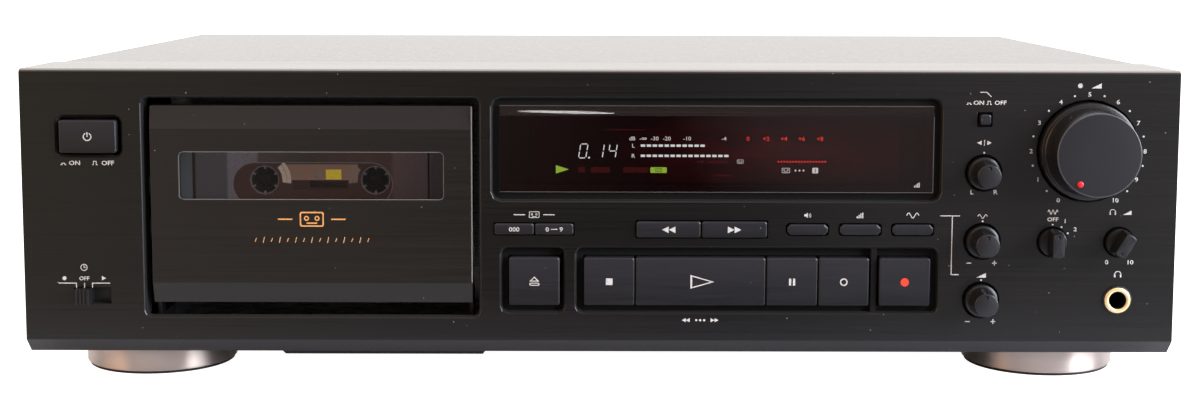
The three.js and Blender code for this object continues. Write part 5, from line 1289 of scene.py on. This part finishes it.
class DECK_OT_make_feet(bpy.types.Operator):
    """Turns the four metal feet with their rubber rings"""
    bl_idname = "deck.make_feet"
    bl_label = "Make the feet"

    def execute(self, context):
        ground = -FOOT / MM
        for name in [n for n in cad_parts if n.startswith("foot_")]:
            low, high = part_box(name)
            centre = ((low.x + high.x) / 2 / MM, ((low.y + high.y) / 2 - FACE) / MM)
            radius = (high.x - low.x) / 2 / MM
            top = high.z / MM
            shell = [(0, top), (radius - 0.3, top), (radius, top - 0.3), (radius, 2.1), (radius - 0.2, 1.6),
                     (radius - 0.7, 1.1), (radius - 1.3, 1.0), (radius - 8.0, 1.0), (radius - 8.0, 4.5),
                     (3.5, 4.5), (3.5, 3.3), (0, 3.3)]
            pad = [(radius - 7.8, 1.0), (radius - 1.2, 1.0), (radius - 1.1, 0.2), (radius - 1.4, 0.0),
                   (radius - 7.4, 0.0), (radius - 7.7, 0.3), (radius - 7.8, 1.0)]
            for part, profile, finish_name, slot, instead in (
                    ("_turned", shell, "champagne", "foot", name), ("_pad", pad, "rubber", "rubber", None)):
                foot = Solids()
                foot.turned([(reach, ground + height) for reach, height in profile], centre, 160,
                            upright=True)
                foot.make(name + part, "cabinet", finish_name, slot=slot, smooth=35, instead=instead)
        return {"FINISHED"}


class DECK_OT_make_sockets(bpy.types.Operator):
    """Makes the gold ring of the headphone jack, and the coloured rings and letters of the rear sockets"""
    bl_idname = "deck.make_sockets"
    bl_label = "Make the sockets"

    def execute(self, context):
        ring = Solids()
        ring.turned([(3.3, 1.6), (3.3, -0.85), (3.45, -1.05), (3.9, -1.16), (4.4, -1.12), (4.75, -0.95),
                     (4.85, -0.78), (3.5, -0.78), (3.5, 1.6), (3.3, 1.6)], middle("headphone_jack"), 96)
        ring.make("jack_ring", "cabinet", "gold", slot="gold", smooth=40)
        self.rear()
        return {"FINISHED"}

    def rear(self):
        """The left channel's row is above the right one's. Letters are read from behind, so they
        are drawn the other way round."""
        rings = Solids()
        ink = Print()
        ink.front, ink.back = REAR_FACE + INK_PROUD, REAR_FACE - INK_SUNK
        for row, z, letter in ((0, 21.0, "R"), (1, 38.0, "L")):
            for x in (SOCKETS - SOCKET_REACH, SOCKETS + SOCKET_REACH):
                outer, inner = circle(x, z, 5.35, 40), circle(x, z, 4.3, 40)
                rings.band(outer, inner, REAR_FACE + 2.0, REAR_FACE + 3.1, row)
            ink.text(letter, SOCKETS - SOCKET_REACH - 15.5, z, 3.0, stretch=-1.1)
        rings.make("socket_rings", "cabinet", "red_abs", "white_abs")
        for way, words in ((-1, "OUT"), (1, "IN")):
            ink.text(words, SOCKETS + way * SOCKET_REACH, 49.5, 3.0, stretch=-1.1)
            ink.line([(SOCKETS + way * 20.0, 13.5), (SOCKETS + way * 20.0, 45.5)], 0.4)
        ink.text("~", CORD_OUTLET, 38.5, 5.0, stretch=-1.2)
        ink.make("rear_print", "cabinet", "white_ink")


class DECK_OT_drive_screws(bpy.types.Operator):
    """Puts the cover's and the rear panel's screws in"""
    bl_idname = "deck.drive_screws"
    bl_label = "Drive the screws"

    def execute(self, context):
        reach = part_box("top_cover")[1].x / MM
        spots = [((way * reach, depth, 22.0), Vector((way, 0, 0)))
                 for way in (-1, 1) for depth in (92.0, 236.0)]
        rear = [*((x, 98.5) for x in (-196.0, -66.0, 66.0, 196.0)),
                *((x, 8.5) for x in (-196.0, -66.0, 66.0)), (128.2, 29.5), (161.8, 29.5), (-169.0, 26.0)]
        spots += [((x, REAR_FACE, z), Vector((0, 1, 0))) for x, z in rear]
        head = self.head()
        work = bmesh.new()
        for turn, (spot, way) in enumerate(spots):
            first = len(work.verts)
            work.from_mesh(head)
            work.verts.ensure_lookup_table()
            move = (Matrix.Translation(place(*spot)) @ way.to_track_quat("Z", "Y").to_matrix().to_4x4()
                    @ Matrix.Rotation(turn * 0.7, 4, "Z"))
            bmesh.ops.transform(work, matrix=move, verts=work.verts[first:])
        mesh = bpy.data.meshes.new("case_screws")
        work.to_mesh(mesh)
        work.free()
        mesh.materials.append(finish("screw"))
        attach(linked("case_screws", mesh), "cabinet")
        return {"FINISHED"}

    def head(self):
        """A pan-head screw with a cross recess, pointing up its own Z axis."""
        head = Solids()
        head.turned([(0, 0.95), (1.2, 0.92), (2.1, 0.75), (2.65, 0.45), (2.85, 0.1), (2.85, -0.15),
                     (0, -0.15)], (0, 0), 28, upright=True)
        piece = linked("screw_head", head.mesh("screw_head", ["screw"], 35, lambda *p: Vector(p) * MM))
        for size in ((3.0, 0.6, 1.3), (0.6, 3.0, 1.3)):
            matrix = Matrix.Translation((0, 0, 0.95 * MM)) @ Matrix.Diagonal((*(Vector(size) * MM), 1))
            carve(piece, cutter(bmesh.ops.create_cube, matrix, size=1.0))
        mesh = piece.data
        bpy.data.objects.remove(piece)
        return mesh


class DECK_OT_set_stage(bpy.types.Operator):
    """Sets the pale floor, the soft lights, the surroundings and the camera"""
    bl_idname = "deck.set_stage"
    bl_label = "Set the stage"

    def execute(self, context):
        studio = context.scene.deck_studio
        self.floor(studio)
        self.surroundings(studio)
        self.lights(studio)
        self.camera(context.scene)
        return {"FINISHED"}

    def floor(self, studio):
        """White to the camera. To reflections it is a white board under the deck on a dark table,
        which is warm and lighter at the left, and cooler and lighter at the right, with a warm pool of
        painted light at the right front."""
        look = Finish("white_card", 0xc4c4c4, 0.9, Emission_Color=(1, 1, 1, 1),
                      Emission_Strength=studio.floor)
        board = look.spread(look.at("Y"), start=-0.265, end=-0.175)
        table = look.blocks(look.spread(look.at("X"), start=-0.45, end=0.45), (
            (0.03, studio.table_left), (1.0, studio.table_right), (0.54, 0x161412), (0.575, 0x161412),
            (0.68, [0.6 * share for share in studio.table_right])))
        # A painted pool of warm light on the table at the right front.
        warm = look.patch((0.3, -1.02, 0), (0.17, 0.42, 1), math.radians(24))
        lit = look.add("Emission", {"Color": look.mix(warm, table, 0xd8c0b8), "Strength": 1.0})
        card = look.add("BsdfDiffuse", {"Color": opaque(0xe0e4ee)})
        mirrored = look.add("MixShader", {0: board, 1: lit, 2: card})
        nodes = look.tree.nodes
        both = look.add("MixShader", {0: look.add("LightPath", out="Is Camera Ray"), 1: mirrored,
                                      2: nodes["Principled BSDF"].outputs[0]})
        look.tree.links.new(both, nodes["Material Output"].inputs["Surface"])
        mesh = bpy.data.meshes.new("floor")
        mesh.from_pydata([(x, y, 0) for x, y in rectangle(-8.0, 8.0, -8.0, 8.0)], [], [(0, 1, 2, 3)])
        mesh.materials.append(look.made)
        linked("floor", mesh)

    def surroundings(self, studio):
        """White to the camera and behind the deck, a dim room in front that is warm at the left."""
        world = bpy.data.worlds.new("studio")
        bpy.context.scene.world = world
        world.use_nodes = True
        world.node_tree.nodes.clear()
        sky = Nodes(world.node_tree)
        behind = sky.spread(sky.at("Y", "Generated"), start=-0.25, end=0.35)
        side = sky.spread(sky.at("X", "Generated"), start=-0.7, end=0.7)
        up = sky.spread(sky.at("Z", "Generated"), studio.room, studio.ceiling, 0.15, 0.55)
        room = sky.add("Background", {"Color": sky.mix(side, 0xffe0c0, 0xe4e6f4), "Strength": up})
        back = sky.add("Background", {"Color": opaque(0xfffbf8), "Strength": studio.backdrop})
        around = sky.add("MixShader", {0: behind, 1: room, 2: back})
        plain = sky.add("Background", {"Color": (1, 1, 1, 1), "Strength": 1.0})
        both = sky.add("MixShader", {0: sky.add("LightPath", out="Is Camera Ray"), 1: around, 2: plain})
        sky.add("OutputWorld", {"Surface": both})

    def lights(self, studio):
        for name, shape, power, where, size, colour in (
                ("window_light", "RECTANGLE", studio.window_power, (1.5, -0.76, 0.6), (1.1, 1.16), 0xf4f7ff),
                ("warm_fill", "RECTANGLE", studio.fill_power, (-1.45, -0.7, 0.5), (1.0, 1.0), 0xffc896),
                ("lamp_streak", "ELLIPSE", studio.streak_power, (-0.03, -0.9, 0.5387), (0.084, 0.0024),
                 0xffffff)):
            lamp = bpy.data.lights.new(name, "AREA")
            lamp.shape = shape
            lamp.size, lamp.size_y = size
            lamp.energy = power
            lamp.color = linear(colour)
            holder = linked(name, lamp)
            holder.location = where
            aim = Vector((0, -0.1, 0.05)) - Vector(where)
            holder.rotation_euler = aim.to_track_quat("-Z", "Y").to_euler()

    def camera(self, scene):
        pitch, roll, yaw = CAMERA_TURN
        lens = bpy.data.cameras.new("camera")
        lens.sensor_fit = "HORIZONTAL"
        lens.sensor_width = SENSOR_MM
        lens.lens = LENS_MM
        lens.shift_x, lens.shift_y = SHIFT
        lens.clip_start, lens.clip_end = 0.01, 50
        turn = Matrix.Rotation(yaw, 3, "Z") @ Matrix.Rotation(-pitch, 3, "X") @ Matrix.Rotation(roll, 3, "Y")
        aim = turn @ Matrix(((1, 0, 0), (0, 0, -1), (0, 1, 0)))
        scene.camera = linked("camera", lens)
        scene.camera.matrix_world = Matrix.Translation(place(*CAMERA)) @ aim.to_4x4()
        scene.view_settings.view_transform = "Standard"


class DECK_PT_pieces(bpy.types.Panel):
    """Lists the steps that dress the deck"""
    bl_idname = "DECK_PT_pieces"
    bl_label = "Cassette deck"
    bl_space_type = "VIEW_3D"
    bl_region_type = "UI"
    bl_category = "Deck"

    def draw(self, context):
        for group in (context.scene.deck_finish, context.scene.deck_studio):
            for name in group.__annotations__:
                self.layout.prop(group, name)
        for step in STEPS:
            self.layout.operator(step.bl_idname)


STEPS = (
    DECK_OT_set_stage,
    DECK_OT_dress_case,
    DECK_OT_dress_keys,
    DECK_OT_print_panel,
    DECK_OT_make_knobs,
    DECK_OT_make_display,
    DECK_OT_make_door,
    DECK_OT_make_cassette,
    DECK_OT_make_feet,
    DECK_OT_make_sockets,
    DECK_OT_drive_screws,
)
CLASSES = (DeckFinishSettings, DeckStudioSettings, *STEPS, DECK_PT_pieces)


def register():
    for each in CLASSES:
        bpy.utils.register_class(each)
    bpy.types.Scene.deck_finish = bpy.props.PointerProperty(type=DeckFinishSettings)
    bpy.types.Scene.deck_studio = bpy.props.PointerProperty(type=DeckStudioSettings)


def unregister():
    del bpy.types.Scene.deck_studio
    del bpy.types.Scene.deck_finish
    for each in reversed(CLASSES):
        bpy.utils.unregister_class(each)


def main():
    register()
    for step in STEPS:
        group, name = step.bl_idname.split(".")
        getattr(getattr(bpy.ops, group), name)()


if __name__ == "__main__":
    main()
